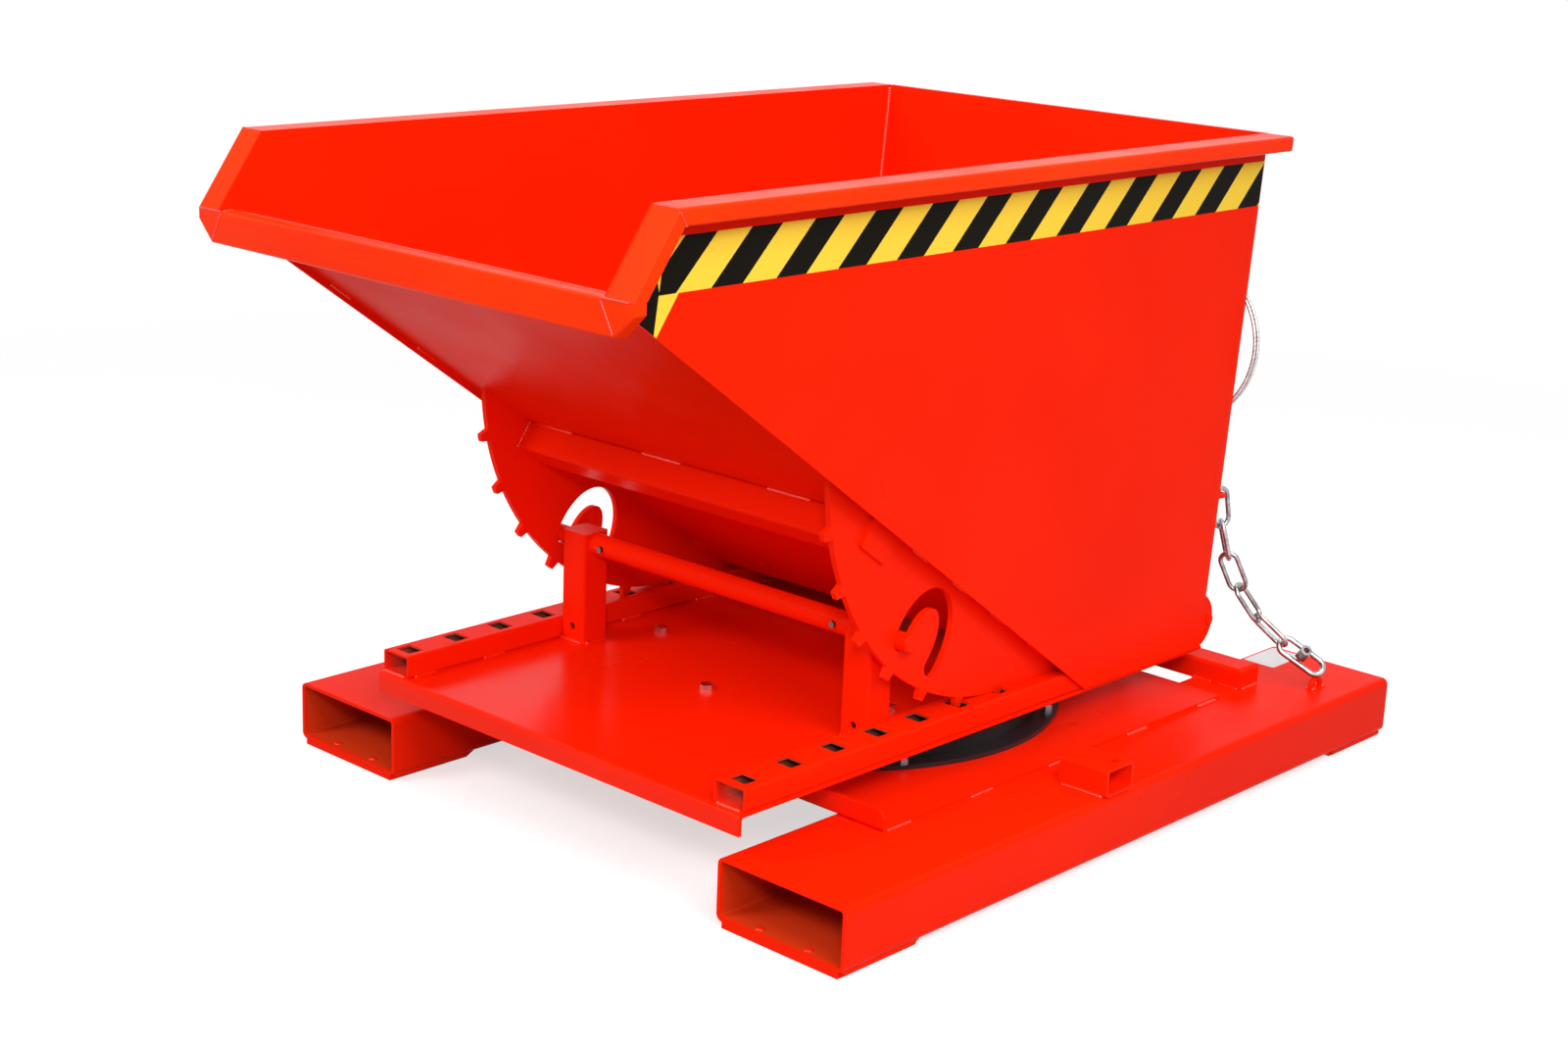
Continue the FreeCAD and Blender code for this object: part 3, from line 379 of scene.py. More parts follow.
def recolour_bore(material, middle, half_bore, half_length, mouth_fade, colour):
    """A tube along Y whose bore turns to another colour past the mouths: bare oxide in the rails, which are
    sprayed outside only, and painted shade over thin paint in the fork pockets.
    """
    tree = material.node_tree
    shader = tree.nodes["Principled BSDF"]
    place = tree.nodes.new("ShaderNodeSeparateXYZ")
    tree.links.new(tree.nodes.new("ShaderNodeTexCoord").outputs["Object"], place.inputs[0])
    sources = (add_up(tree, place.outputs["X"], 0.0, "ABSOLUTE"), *place.outputs[1:])
    away = []
    for source, centre in zip(sources, middle):
        away.append(add_up(tree, add_up(tree, source, centre, "SUBTRACT"), 0.0, "ABSOLUTE"))
    across = add_up(tree, away[0], half_bore[0], "LESS_THAN")
    up = add_up(tree, away[2], half_bore[1], "LESS_THAN")
    deep = spread(tree, away[1], 1.0, 0.0, half_length - mouth_fade, half_length)
    mix = tree.nodes.new("ShaderNodeMix")
    mix.data_type = "RGBA"
    tree.links.new(add_up(tree, add_up(tree, across, up, "MULTIPLY"), deep, "MULTIPLY"), mix.inputs["Factor"])
    tree.links.new(shader.inputs["Base Color"].links[0].from_socket, mix.inputs["A"])
    mix.inputs["B"].default_value = (*colour, 1)
    tree.links.new(mix.outputs["Result"], shader.inputs["Base Color"])
    return material


def metal(name, light, dark, gloss, grain):
    values = {"Light": (*light, 1), "Dark": (*dark, 1), "Gloss Roughness": gloss, "Grain Scale": grain}
    material, shader = finish(name, GRAIN, values, METAL_RELIEF)
    shader.inputs["Metallic"].default_value = 1.0
    return material


RAIL_MIDDLE = (0.306, -0.0086, 0.163)
RAIL_HALF_BORE = (0.0235, 0.0135)
RAIL_HALF_LENGTH = 0.4565
RAIL_OVERSPRAY = 0.045
RAIL_INSIDE = (0.28, 0.085, 0.06)
# The fork pocket bores turn a darker, browner red just inside the mouths: thin paint, with painted shade for
# the recess.
POCKET_MIDDLE = (0.4, 0.11587, 0.048)
POCKET_HALF_BORE = (0.0965, 0.0365)
POCKET_HALF_LENGTH = 0.59
POCKET_MOUTH_FADE = 0.008
POCKET_BORE_SHADE = (0.68, 0.045, 0.008)
ORANGE = (0.97, 0.0165, 0.0005)
ORANGE_THIN = (0.9, 0.0135, 0.0004)
orange_coat = coat("orange_coat", ORANGE, ORANGE_THIN, gloss=0.3, specular=0.03)
# Welds: the same paint, glossier, and a touch lighter as a painted highlight on the beads.
weld_coat = coat("weld_coat", (0.97, 0.022, 0.001), ORANGE, gloss=0.2, specular=0.6)
chute_coat = coat("chute_coat", ORANGE, ORANGE_THIN, gloss=0.3, specular=0.008)
tray_coat = coat("tray_coat", ORANGE, ORANGE_THIN, gloss=0.22, specular=0.08)
# Rims and lip: a lighter, more orange copy of the same paint, a painted highlight for faces that catch more
# light.
rim_highlight_coat = coat("rim_highlight_coat", (0.97, 0.04, 0.0012), (0.95, 0.028, 0.0008), gloss=0.28, specular=0.05)
rail_coat = recolour_bore(
    coat("rail_coat", ORANGE, ORANGE_THIN, gloss=0.3, specular=0.03),
    RAIL_MIDDLE, RAIL_HALF_BORE, RAIL_HALF_LENGTH, RAIL_OVERSPRAY, RAIL_INSIDE)
# Pocket bores: painted shade over thin paint, darker past the mouths.
pocket_coat = recolour_bore(
    coat("pocket_coat", ORANGE, ORANGE_THIN, gloss=0.3, specular=0.03),
    POCKET_MIDDLE, POCKET_HALF_BORE, POCKET_HALF_LENGTH, POCKET_MOUTH_FADE, POCKET_BORE_SHADE)
ring_coat = coat("ring_black", (0.018, 0.018, 0.02), (0.011, 0.011, 0.012), gloss=0.3, specular=0.5)
tape_yellow = coat("tape_yellow", (0.95, 0.66, 0.055), (0.9, 0.6, 0.045), 0.45, 0.1, FILM_PEEL)
tape_black = coat("tape_black", (0.0065, 0.0055, 0.003), (0.0045, 0.0035, 0.002), 0.5, 0.04, FILM_PEEL)
label_face = coat("label_face", (0.8, 0.8, 0.8), (0.74, 0.74, 0.74), 0.4, 0.4, FILM_PEEL)
zinc = metal("zinc_plate", (0.6, 0.6, 0.61), (0.22, 0.22, 0.23), gloss=0.26, grain=160.0)
rope_steel = metal("rope_steel", (0.7, 0.7, 0.7), (0.42, 0.42, 0.43), gloss=0.42, grain=420.0)
ferrule_metal = metal("ferrule_metal", (0.8, 0.8, 0.81), (0.58, 0.58, 0.6), gloss=0.3, grain=240.0)
bright_zinc = metal("bright_zinc", (0.78, 0.79, 0.83), (0.52, 0.53, 0.57), gloss=0.24, grain=300.0)
black_oxide = metal("black_oxide", (0.2, 0.2, 0.21), (0.07, 0.07, 0.075), gloss=0.34, grain=260.0)
ball_metal = metal("ball_metal", (0.85, 0.85, 0.86), (0.6, 0.6, 0.62), gloss=0.14, grain=120.0)

by_slot = {
    "orange_paint": orange_coat, "black_paint": ring_coat, "zinc_steel": zinc, "wire_rope": rope_steel,
    "ferrule_aluminium": ferrule_metal, "ball_steel": ball_metal}
by_node = {
    "right_rail": rail_coat, "left_rail": rail_coat, "right_fork_pocket": pocket_coat,
    "left_fork_pocket": pocket_coat, "chute_and_floor": chute_coat, "tray": tray_coat,
    "axle_set_screws": black_oxide, "tray_bolts": bright_zinc, "ring_bolts": bright_zinc,
    "right_top_rim": rim_highlight_coat, "left_top_rim": rim_highlight_coat,
    "right_front_rim": rim_highlight_coat, "left_front_rim": rim_highlight_coat}
for entry in frame["record"]["subparts"]:
    node = nodes[entry["node"]]
    node.data.materials.clear()
    node.data.materials.append(by_node.get(entry["node"], by_slot[entry["material_slot"]]))


# Release cable: one wire rope from the lever ferrule up the lead, round the coil, to the end eye

ROPE = 0.005
ROPE_LAY = 0.036
ROPE_STEP = 0.0026
ROPE_CORNERS = 18
STRANDS = 6
STRAND_DEPTH = 0.08
COIL_CENTRE = Vector((0.245, 0.4939215, 0.571586))
COIL_RADIUS = 0.110
COIL_PITCH = 0.0082
COIL_TURNS = 2.15
COIL_STEPS = 14
COIL_HEADING_STEP = 0.05
LINE_STEPS = 12
LINE_ORDER = 3
LEAD = (
    (0.135, 0.5046983, 0.2318898), (0.135, 0.5046983, 0.2818898), (0.1345, 0.5025, 0.338),
    (0.132, 0.4945, 0.394), (0.1325, 0.4895, 0.452), (0.135, 0.489367, 0.5167749),
    (0.135, 0.4935074, 0.5666031))


def coil_place(turn, swell=1.0):
    """The place on the coil after a turn in radians, with the radius made larger by a factor."""
    side = Vector((-math.cos(turn), 0, 0)) + REAR_UP * math.sin(turn)
    return COIL_CENTRE + side * (COIL_RADIUS * swell) + REAR_OUT * (COIL_PITCH / (2 * math.pi) * turn)


def rope_route():
    """The lead's points, then the coil's, set out so that the smooth line keeps the radius."""
    count = math.ceil(COIL_TURNS * COIL_STEPS)
    whole = 2 * math.pi * COIL_TURNS
    swell = 1 / math.cos(whole / count / 2)
    route = [Vector(point) for point in LEAD]
    route += [coil_place(whole * step / count, swell) for step in range(count + 1)]
    heading = (coil_place(whole) - coil_place(whole - COIL_HEADING_STEP)).normalized()
    route.append(coil_place(whole) + heading * ROPE)
    return route


def smooth_line(route):
    """Points of the smooth spline that has the route's points as its control points."""
    curve = bpy.data.curves.new("rope_line", "CURVE")
    curve.dimensions = "3D"
    curve.resolution_u = LINE_STEPS
    spline = curve.splines.new("NURBS")
    spline.points.add(len(route) - 1)
    for point, place in zip(spline.points, route):
        point.co = (*place, 1)
    spline.order_u = LINE_ORDER
    spline.use_endpoint_u = True
    holder = bpy.data.objects.new("rope_line", curve)
    scene.collection.objects.link(holder)
    bpy.context.view_layer.update()
    mesh = bpy.data.meshes.new_from_object(holder)
    line = [vertex.co.copy() for vertex in mesh.vertices]
    bpy.data.objects.remove(holder)
    bpy.data.curves.remove(curve)
    bpy.data.meshes.remove(mesh)
    return line


def even_places(line, step):
    """The same line in equal steps, and its length."""
    runs = [0.0]
    for before, after in zip(line, line[1:]):
        runs.append(runs[-1] + (after - before).length)
    count = int(runs[-1] / step)
    places = []
    index = 0
    for number in range(count + 1):
        run = runs[-1] * number / count
        while index < len(line) - 2 and runs[index + 1] < run:
            index += 1
        share = (run - runs[index]) / max(TINY, runs[index + 1] - runs[index])
        places.append(line[index].lerp(line[index + 1], share))
    return places, runs[-1]


def add_rope():
    """Six strands laid round a core: the section has six lobes and turns along the rope."""
    places, length = even_places(smooth_line(rope_route()), ROPE_STEP)
    last = len(places) - 1
    points, faces = [], []
    side = X.copy()
    for number, place in enumerate(places):
        ahead = (places[min(number + 1, last)] - places[max(number - 1, 0)]).normalized()
        side = (side - ahead * side.dot(ahead)).normalized()
        other = ahead.cross(side)
        twist = 2 * math.pi * length * number / last / ROPE_LAY
        for corner in range(ROPE_CORNERS):
            angle = 2 * math.pi * corner / ROPE_CORNERS
            radius = ROPE / 2 * (1 - STRAND_DEPTH + STRAND_DEPTH * math.cos(STRANDS * angle))
            points.append(place + (side * math.cos(angle + twist) + other * math.sin(angle + twist)) * radius)
    for number in range(last):
        for corner in range(ROPE_CORNERS):
            after = (corner + 1) % ROPE_CORNERS
            near, far = number * ROPE_CORNERS, (number + 1) * ROPE_CORNERS
            faces.append([near + corner, near + after, far + after, far + corner])
    faces.append(list(range(ROPE_CORNERS))[::-1])
    faces.append([last * ROPE_CORNERS + corner for corner in range(ROPE_CORNERS)])
    mesh = bpy.data.meshes.new("release_cable")
    mesh.from_pydata([tuple(point) for point in points], [], faces)
    mesh.polygons.foreach_set("use_smooth", [True] * len(faces))
    rope = bpy.data.objects.new("release_cable", mesh)
    scene.collection.objects.link(rope)
    give(rope, rope_steel, "skip")
    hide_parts("release_cable_coil", "release_cable_lead")


add_rope()


# Pouring lip: a folded channel, open behind, with rounded folds in front and its lower corners cut off

LIP_BOTTOM = 0.737
LIP_CHAMFER = 0.026
LIP_ROUND = 0.0035
LIP_SHEET = 0.003
LIP_SMOOTH = math.radians(40)
LIP_ROUND_STEPS = 4
FACING = 0.9


def add_lip():
    middle = Vector((0, (LIP_FRONT + LIP_BACK) / 2, (LIP_TOP + LIP_BOTTOM) / 2))
    lip = start(bpy.ops.mesh.primitive_cube_add, "pouring_lip_channel", size=1, location=middle)
    resize((2 * RIM_OUT, LIP_BACK - LIP_FRONT, LIP_TOP - LIP_BOTTOM), middle)
    for side in (-1, 1):
        pick_edges(lip, lambda point: point.z < LIP_BOTTOM + NEAR and side * point.x > RIM_OUT - NEAR)
        bpy.ops.mesh.bevel(affect="EDGES", offset=LIP_CHAMFER, segments=1)
    pick_edges(lip, lambda point: point.y < LIP_FRONT + NEAR)
    bpy.ops.mesh.bevel(affect="EDGES", offset=LIP_ROUND, segments=LIP_ROUND_STEPS)
    pick_faces(lip, lambda place, normal: normal.y > FACING)
    bpy.ops.mesh.inset(thickness=LIP_SHEET)
    depth = LIP_FRONT - LIP_BACK + LIP_SHEET
    bpy.ops.mesh.extrude_region_move(TRANSFORM_OT_translate={"value": (0, depth, 0)})
    bpy.ops.mesh.select_all(action="SELECT")
    bpy.ops.mesh.normals_make_consistent(inside=False)
    close_edit()
    bpy.ops.object.shade_smooth_by_angle(angle=LIP_SMOOTH)
    # The lip takes the rims' lighter copy of the paint, a painted highlight.
    give(lip, rim_highlight_coat, "skip")
    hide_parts("pouring_lip")


add_lip()


# Hazard tape along the top of both side walls, and a short strip down the slanted front edge

TAPE_LOW = 0.771
TAPE_HIGH = 0.831
TAPE_THICK = 0.0003
TAPE_PERIOD = 0.1005
TAPE_BLACK = 0.048
TAPE_START = -0.553
TAPE_FRONT = -0.6217
TAPE_FRONT_SLOPE = 0.144
TAPE_REAR_GAP = 0.001
TAPE_SPARE = 0.05
STRIP_LOW = 0.69
STRIP_WIDTH = 0.060 / math.cos(CHUTE)
STRIP_EDGE_GAP = 0.0008
STRIP_RIGHT = (-0.599, 0.774)
# The bands of a strip run where a * y + b * z is the same; each row is a, b and where the bands begin
RIGHT_STRIP_BANDS = (1.3934, 0.2406, -0.7595)
LEFT_STRIP_BANDS = (-0.2406, 1.3934, 1.19)


def tape_front(z):
    """Where the tape is cut off at its front end."""
    return TAPE_FRONT + (z - TAPE_HIGH) * TAPE_FRONT_SLOPE


def flat_plane(name, side, low, high):
    """A flat sheet on the outside of a side wall, between two (y, z) corners."""
    middle = Vector((side * WALL_OUT, (low[0] + high[0]) / 2, (low[1] + high[1]) / 2))
    piece = start(
        bpy.ops.mesh.primitive_plane_add, name, size=1, location=middle, rotation=(0, side * math.pi / 2, 0))
    resize((1, high[0] - low[0], high[1] - low[1]), middle)
    return piece


def cut_bands(side, low, high, a, b, begin):
    """Cut a sheet along every edge of the bands, which run where a * y + b * z is the same."""
    corners = [a * y + b * z for y in (low[0], high[0]) for z in (low[1], high[1])]
    first = math.floor((min(corners) - begin) / TAPE_PERIOD)
    last = math.ceil((max(corners) - begin) / TAPE_PERIOD)
    size = a * a + b * b
    for step in range(first, last + 1):
        for edge in (0, TAPE_BLACK):
            value = begin + step * TAPE_PERIOD + edge
            if min(corners) < value < max(corners):
                cut((side * WALL_OUT, value * a / size, value * b / size), (0, a, b))


def paint_bands(piece, a, b, begin):
    piece.data.materials.append(tape_yellow)
    piece.data.materials.append(tape_black)
    pick_faces(piece, lambda middle, normal: (a * middle.y + b * middle.z - begin) % TAPE_PERIOD < TAPE_BLACK)
    piece.active_material_index = 1
    bpy.ops.object.material_slot_assign()


def finish_tape(piece):
    close_edit()
    apply_modifier(piece, "SOLIDIFY", thickness=TAPE_THICK, offset=1)
    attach(piece, "skip")


def add_tape(side, name):
    low = (TAPE_FRONT - TAPE_SPARE, TAPE_LOW)
    high = (rear_y(TAPE_HIGH), TAPE_HIGH)
    slope = -1 if side > 0 else 1
    begin = TAPE_START + slope * TAPE_LOW
    tape = flat_plane(name + "_along", side, low, high)
    cut((0, TAPE_FRONT, TAPE_HIGH), (0, -1, TAPE_FRONT_SLOPE), True)
    cut((0, rear_y(TAPE_LOW) - TAPE_REAR_GAP, TAPE_LOW), tuple(REAR_OUT), True)
    cut_bands(side, low, high, 1, slope, begin)
    paint_bands(tape, 1, slope, begin)
    finish_tape(tape)


def add_strip(side, name):
    a, b, begin = RIGHT_STRIP_BANDS if side > 0 else LEFT_STRIP_BANDS
    low = (STRIP_RIGHT[0] - 2 * STRIP_WIDTH, STRIP_LOW)
    high = (STRIP_RIGHT[0] + STRIP_WIDTH, TAPE_HIGH)
    strip = flat_plane(name + "_down", side, low, high)
    cut((0, *STRIP_RIGHT), (0, 1, -CHUTE_SLOPE), True)
    cut((0, STRIP_RIGHT[0] - STRIP_WIDTH, STRIP_RIGHT[1]), (0, -1, CHUTE_SLOPE), True)
    cut((0, 0, wall_edge_z(0) + STRIP_EDGE_GAP), (0, -CHUTE_SLOPE, -1), True)
    cut((0, 0, TAPE_LOW), tuple(Z))
    cut((0, TAPE_FRONT, TAPE_HIGH), (0, -1, TAPE_FRONT_SLOPE))
    pick_faces(strip, lambda middle, normal: middle.z > TAPE_LOW and middle.y > tape_front(middle.z))
    bpy.ops.mesh.delete(type="FACE")
    cut_bands(side, low, high, a, b, begin)
    paint_bands(strip, a, b, begin)
    finish_tape(strip)


for side, name in ((1, "right_hazard_tape"), (-1, "left_hazard_tape")):
    add_tape(side, name)
    add_strip(side, name)


# Blank label on the right fork pocket

LABEL_LOW = Vector((0.310, 0.619, POCKET_TOP))
LABEL_HIGH = Vector((0.361, 0.700, POCKET_TOP))
LABEL_CORNER = 0.004
LABEL_CORNER_STEPS = 5
LABEL_THICK = 0.0003


def add_label():
    middle = (LABEL_LOW + LABEL_HIGH) / 2
    size = LABEL_HIGH - LABEL_LOW
    label = start(bpy.ops.mesh.primitive_plane_add, "blank_label", size=1, location=middle)
    resize((size.x, size.y, 1), middle)
    bpy.ops.mesh.select_all(action="SELECT")
    bpy.ops.mesh.bevel(affect="VERTICES", offset=LABEL_CORNER, segments=LABEL_CORNER_STEPS)
    close_edit()
    apply_modifier(label, "SOLIDIFY", thickness=LABEL_THICK, offset=1)
    give(label, label_face, "base")


add_label()


# Weld beads: one ripple is shaped by hand, repeated into a run, and each run is laid in its corner

BEAD = 0.0026
BEAD_PITCH = 0.0040
BEAD_SWELL = 1.17
BEAD_SINK = 0.35
BEAD_END = 0.45
RIPPLE_FRONT_SHARE = 0.3
RIPPLE_BACK_SHARE = 0.8
BEAD_CORNERS = 8
FEWEST_RIPPLES = 2


def weld_ripple():
    """One ripple of a bead along X: an open ring that swells at its front and eases off behind."""
    ripple = start(
        bpy.ops.mesh.primitive_cylinder_add, "weld_ripple", vertices=BEAD_CORNERS, radius=BEAD,
        depth=BEAD_PITCH, end_fill_type="NOTHING", location=(BEAD_PITCH / 2, 0, 0),
        rotation=(0, math.pi / 2, 0))
    for share, swell in ((RIPPLE_FRONT_SHARE, BEAD_SWELL), (RIPPLE_BACK_SHARE, (1 + BEAD_SWELL) / 2)):
        place = BEAD_PITCH * share
        cut((place, 0, 0), (1, 0, 0))
        pick_points(ripple, lambda point: abs(point.x - place) < NEAR)
        resize((1, swell, swell), (place, 0, 0))
    close_edit()
    return ripple


ripple = weld_ripple()
runs = {}


def weld_run(count):
    """A run of ripples along X, with its ends drawn in and closed."""
    if count not in runs:
        run = copy_of(ripple)
        apply_modifier(
            run, "ARRAY", count=count, use_relative_offset=False, use_constant_offset=True,
            constant_offset_displace=(BEAD_PITCH, 0, 0), use_merge_vertices=True, merge_threshold=NEAR)
        bpy.ops.object.mode_set(mode="EDIT")
        for end in (0, count * BEAD_PITCH):
            pick_points(run, lambda point: abs(point.x - end) < NEAR)
            resize((1, BEAD_END, BEAD_END), (end, 0, 0))
            bpy.ops.mesh.edge_face_add()
        bpy.ops.mesh.select_all(action="SELECT")
        bpy.ops.mesh.normals_make_consistent(inside=False)
        close_edit()
        bpy.ops.object.shade_smooth()
        runs[count] = run
    return runs[count]


def weld(found, begin, end, u, v, size=1.0):
    """Lay a bead in the corner between two faces whose normals are u and v."""
    begin, end, u, v = Vector(begin), Vector(end), Vector(u).normalized(), Vector(v).normalized()
    along = (end - begin).normalized()
    length = (end - begin).length
    count = max(FEWEST_RIPPLES, round(length / BEAD_PITCH))
    bead = copy_of(weld_run(count))
    across = (u - along * u.dot(along)).normalized()
    other = along.cross(across)
    place = begin + (u + v) * (BEAD * size * BEAD_SINK)
    stretch = length / (count * BEAD_PITCH)
    bead.matrix_world = Matrix((
        (along.x * stretch, across.x * size, other.x * size, place.x),
        (along.y * stretch, across.y * size, other.y * size, place.y),
        (along.z * stretch, across.z * size, other.z * size, place.z), (0, 0, 0, 1)))
    only(bead)
    bpy.ops.object.transform_apply(location=True, rotation=True, scale=True)
    found.append(bead)


def stitch(found, begin, end, u, v, stitches, size=1.0):
    """Short welds of one length along a line, at shares of the line."""
    length, shares = stitches
    begin, end = Vector(begin), Vector(end)
    half = (end - begin).normalized() * (length / 2)
    for share in shares:
        middle = begin.lerp(end, share)
        weld(found, middle - half, middle + half, u, v, size)


# Bead sizes, gaps at the ends of beads, and stitches: the length of each, and their shares of the line
THIN_BEAD = 0.8
FULL_BEAD = 1.1
EDGE_GAP = 0.006
CORNER_GAP = 0.004
PLATE_EDGE_STITCHES = (0.044, (0.04, 0.26, 0.48, 0.72, 0.95))
PLATE_UNDER_STITCHES = (0.048, (0.15, 0.4, 0.65, 0.9))
MEMBER_STITCHES = (0.032, (0.25, 0.78))
RAIL_STITCHES = (0.036, (0.03, 0.16, 0.44, 0.6, 0.76, 0.93))
CHUTE_STITCHES = (0.04, (0.1, 0.28, 0.46, 0.64, 0.82, 0.96))
CHUTE_STITCHES_FROM = 0.10
CHUTE_STITCHES_GAP = 0.02
ROCKER_STITCHES = (0.036, (0.08, 0.36, 0.64, 0.92))
ROCKER_FROM, ROCKER_TO = 0.12, -0.17
BRACE_STITCHES = (0.072, (0.08, 0.42, 0.79))
BRACE_DEPTH = 0.040
FOLD_Y = 0.1455
MITRE_TOP_Y = -0.64168
MITRE_LOW_Y = -0.63131
MITRE_START = 0.001
MITRE_END = 0.003
MITRE_LOW = 0.020
MITRE_SIZE = 0.5
LIP_SIZE = 0.5
LIP_FOLD_GAP = 0.003
LIP_CHAMFER_GAP = 0.002
REAR_CORNER_SIZE = 1.5
DOT_RADIUS = 0.006
DOT_FLAT = 0.35
DOT_SEGMENTS = 12
DOT_RINGS = 8
DOT_PLACES = ((0.360, -0.462), (0.436, -0.462), (0.360, 0.690), (0.436, 0.690))
POCKET_FLOOR = 0.013
FOOT_WELD_OUTER = 0.004
FOOT_WELD_INNER = 0.017
FOOT_WELD_SIZE = 1.6


def weld_dots(found):
    """Plug welds inside the fork pockets, where the feet are fixed from above: a flattened dome, copied."""
    dome = start(
        bpy.ops.mesh.primitive_uv_sphere_add, "plug_weld", segments=DOT_SEGMENTS, ring_count=DOT_RINGS,
        radius=DOT_RADIUS)
    cut((0, 0, -DOT_RADIUS * DOT_FLAT), (0, 0, -1), True)
    bpy.ops.mesh.edge_face_add()
    bpy.ops.mesh.select_all(action="SELECT")
    bpy.ops.mesh.normals_make_consistent(inside=False)
    resize((1, 1, DOT_FLAT), (0, 0, 0))
    close_edit()
    bpy.ops.object.shade_smooth()
    for side in (-1, 1):
        for x, y in DOT_PLACES:
            dot = copy_of(dome)
            dot.location = (side * x, y, POCKET_FLOOR)
            bpy.ops.object.transform_apply(location=True, rotation=True, scale=True)
            found.append(dot)
    bpy.data.objects.remove(dome)


def base_welds():
    """The plate, the cross member, the lock receiver and the chain staple on the fork pockets."""
    found = []
    weld_dots(found)
    plate_low, plate_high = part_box("turntable_plate")
    member_low, member_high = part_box("rear_cross_member")
    receiver_low, receiver_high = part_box("lock_receiver")
    staple_low, staple_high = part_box("chain_staple")
    top = POCKET_TOP
    for side in (-1, 1):
        edge = side * plate_high.x
        inner = side * POCKET_IN
        end = side * member_high.x
        stitch(
            found, (edge, plate_low.y, top), (edge, plate_high.y, top), X * side, Z, PLATE_EDGE_STITCHES)
        stitch(
            found, (inner, plate_low.y, top), (inner, plate_high.y, top), -X * side, -Z, PLATE_UNDER_STITCHES)
        for y, out in ((member_low.y, -Y), (member_high.y, Y)):
            stitch(found, (inner, y, top), (end, y, top), out, Z, MEMBER_STITCHES)
        weld(
            found, (end, member_low.y + EDGE_GAP, top), (end, member_high.y - EDGE_GAP, top), X * side, Z)
    for y, out in ((receiver_low.y, -Y), (receiver_high.y, Y)):
        begin = (receiver_low.x + CORNER_GAP, y, top)
        weld(found, begin, (receiver_high.x - EDGE_GAP, y, top), out, Z, FULL_BEAD)
    near = receiver_low.x
    weld(found, (near, receiver_low.y + EDGE_GAP, top), (near, receiver_high.y - EDGE_GAP, top), -X, Z)
    rod = (staple_high.x - staple_low.x) / 2
    middle = (staple_low.x + staple_high.x) / 2
    for y in (staple_low.y + rod, staple_high.y - rod):
        for out in (X, -X):
            place = Vector((middle, y, top)) + out * rod
            weld(found, place - Y * rod, place + Y * rod, out, Z, THIN_BEAD)
    return found


def foot_welds():
    """Full beads along both sides of the feet, under the rounded edges of the pockets."""
    found = []
    for name, front, back in (
            ("right_front_foot", FOOT_WELD_OUTER, FOOT_WELD_INNER),
            ("right_rear_foot", FOOT_WELD_INNER, FOOT_WELD_OUTER)):
        low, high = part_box(name)
        for side in (-1, 1):
            for x, out in ((low.x, -X), (high.x, X)):
                begin = (side * x, low.y + front, FOOT_TOP)
                end = (side * x, high.y - back, FOOT_TOP)
                weld(found, begin, end, out * side, -Z, FOOT_WELD_SIZE)
    return found


def frame_welds():
    """The rails and the posts on the tray."""
    found = []
    rail_low, rail_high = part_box("right_rail")
    post_low, post_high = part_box("right_post")
    top = TRAY_TOP
    for side in (-1, 1):
        inner = side * rail_low.x
        stitch(found, (inner, rail_low.y, top), (inner, rail_high.y, top), -X * side, Z, RAIL_STITCHES)
        begin = (side * (rail_low.x + EDGE_GAP), rail_low.y, top)
        weld(found, begin, (side * (rail_high.x - EDGE_GAP), rail_low.y, top), -Y, Z)
        for y, out in ((post_low.y, -Y), (post_high.y, Y)):
            begin = (side * (post_low.x + CORNER_GAP), y, top)
            weld(found, begin, (side * post_high.x, y, top), out, Z, FULL_BEAD)
        near = side * post_low.x
        begin = (near, post_low.y + CORNER_GAP, top)
        weld(found, begin, (near, post_high.y - CORNER_GAP, top), -X * side, Z, FULL_BEAD)
    return found


def hopper_welds(found, side):
    """Inside the hopper: the upright corner, the floor and the chute along a side wall."""
    inside = side * WALL_IN
    foot = (inside, rear_in(FLOOR_TOP), FLOOR_TOP)
    head = SKIP_TOP - CORNER_GAP
    weld(found, foot, (inside, rear_in(head), head), -X * side, -REAR_OUT, REAR_CORNER_SIZE)
    weld(found, (inside, FOLD_Y, FLOOR_TOP), foot, -X * side, Z)
    weld(found, chute_top(inside, FOLD_Y), chute_top(inside, LIP_BACK + CORNER_GAP), -X * side, CHUTE_OUT)


def chute_welds(found, side, brace_y):
    """Under the chute: along a side wall, along both faces of a rocker, and where the brace meets it."""
    inside = side * WALL_IN
    stitch(
        found, chute_under(inside, CHUTE_STITCHES_FROM), chute_under(inside, LIP_BACK + CHUTE_STITCHES_GAP),
        -X * side, -CHUTE_OUT, CHUTE_STITCHES, THIN_BEAD)
    rocker_low, rocker_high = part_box("right_rocker")
    for x, out in ((rocker_low.x, -X), (rocker_high.x, X)):
        begin = chute_under(side * x, ROCKER_FROM)
        end = chute_under(side * x, ROCKER_TO)
        stitch(found, begin, end, out * side, -CHUTE_OUT, ROCKER_STITCHES, THIN_BEAD)
    corner = chute_under(side * rocker_low.x, brace_y)
    weld(found, corner - CHUTE_OUT * BRACE_DEPTH, corner, -X * side, CHUTE_UP, FULL_BEAD)


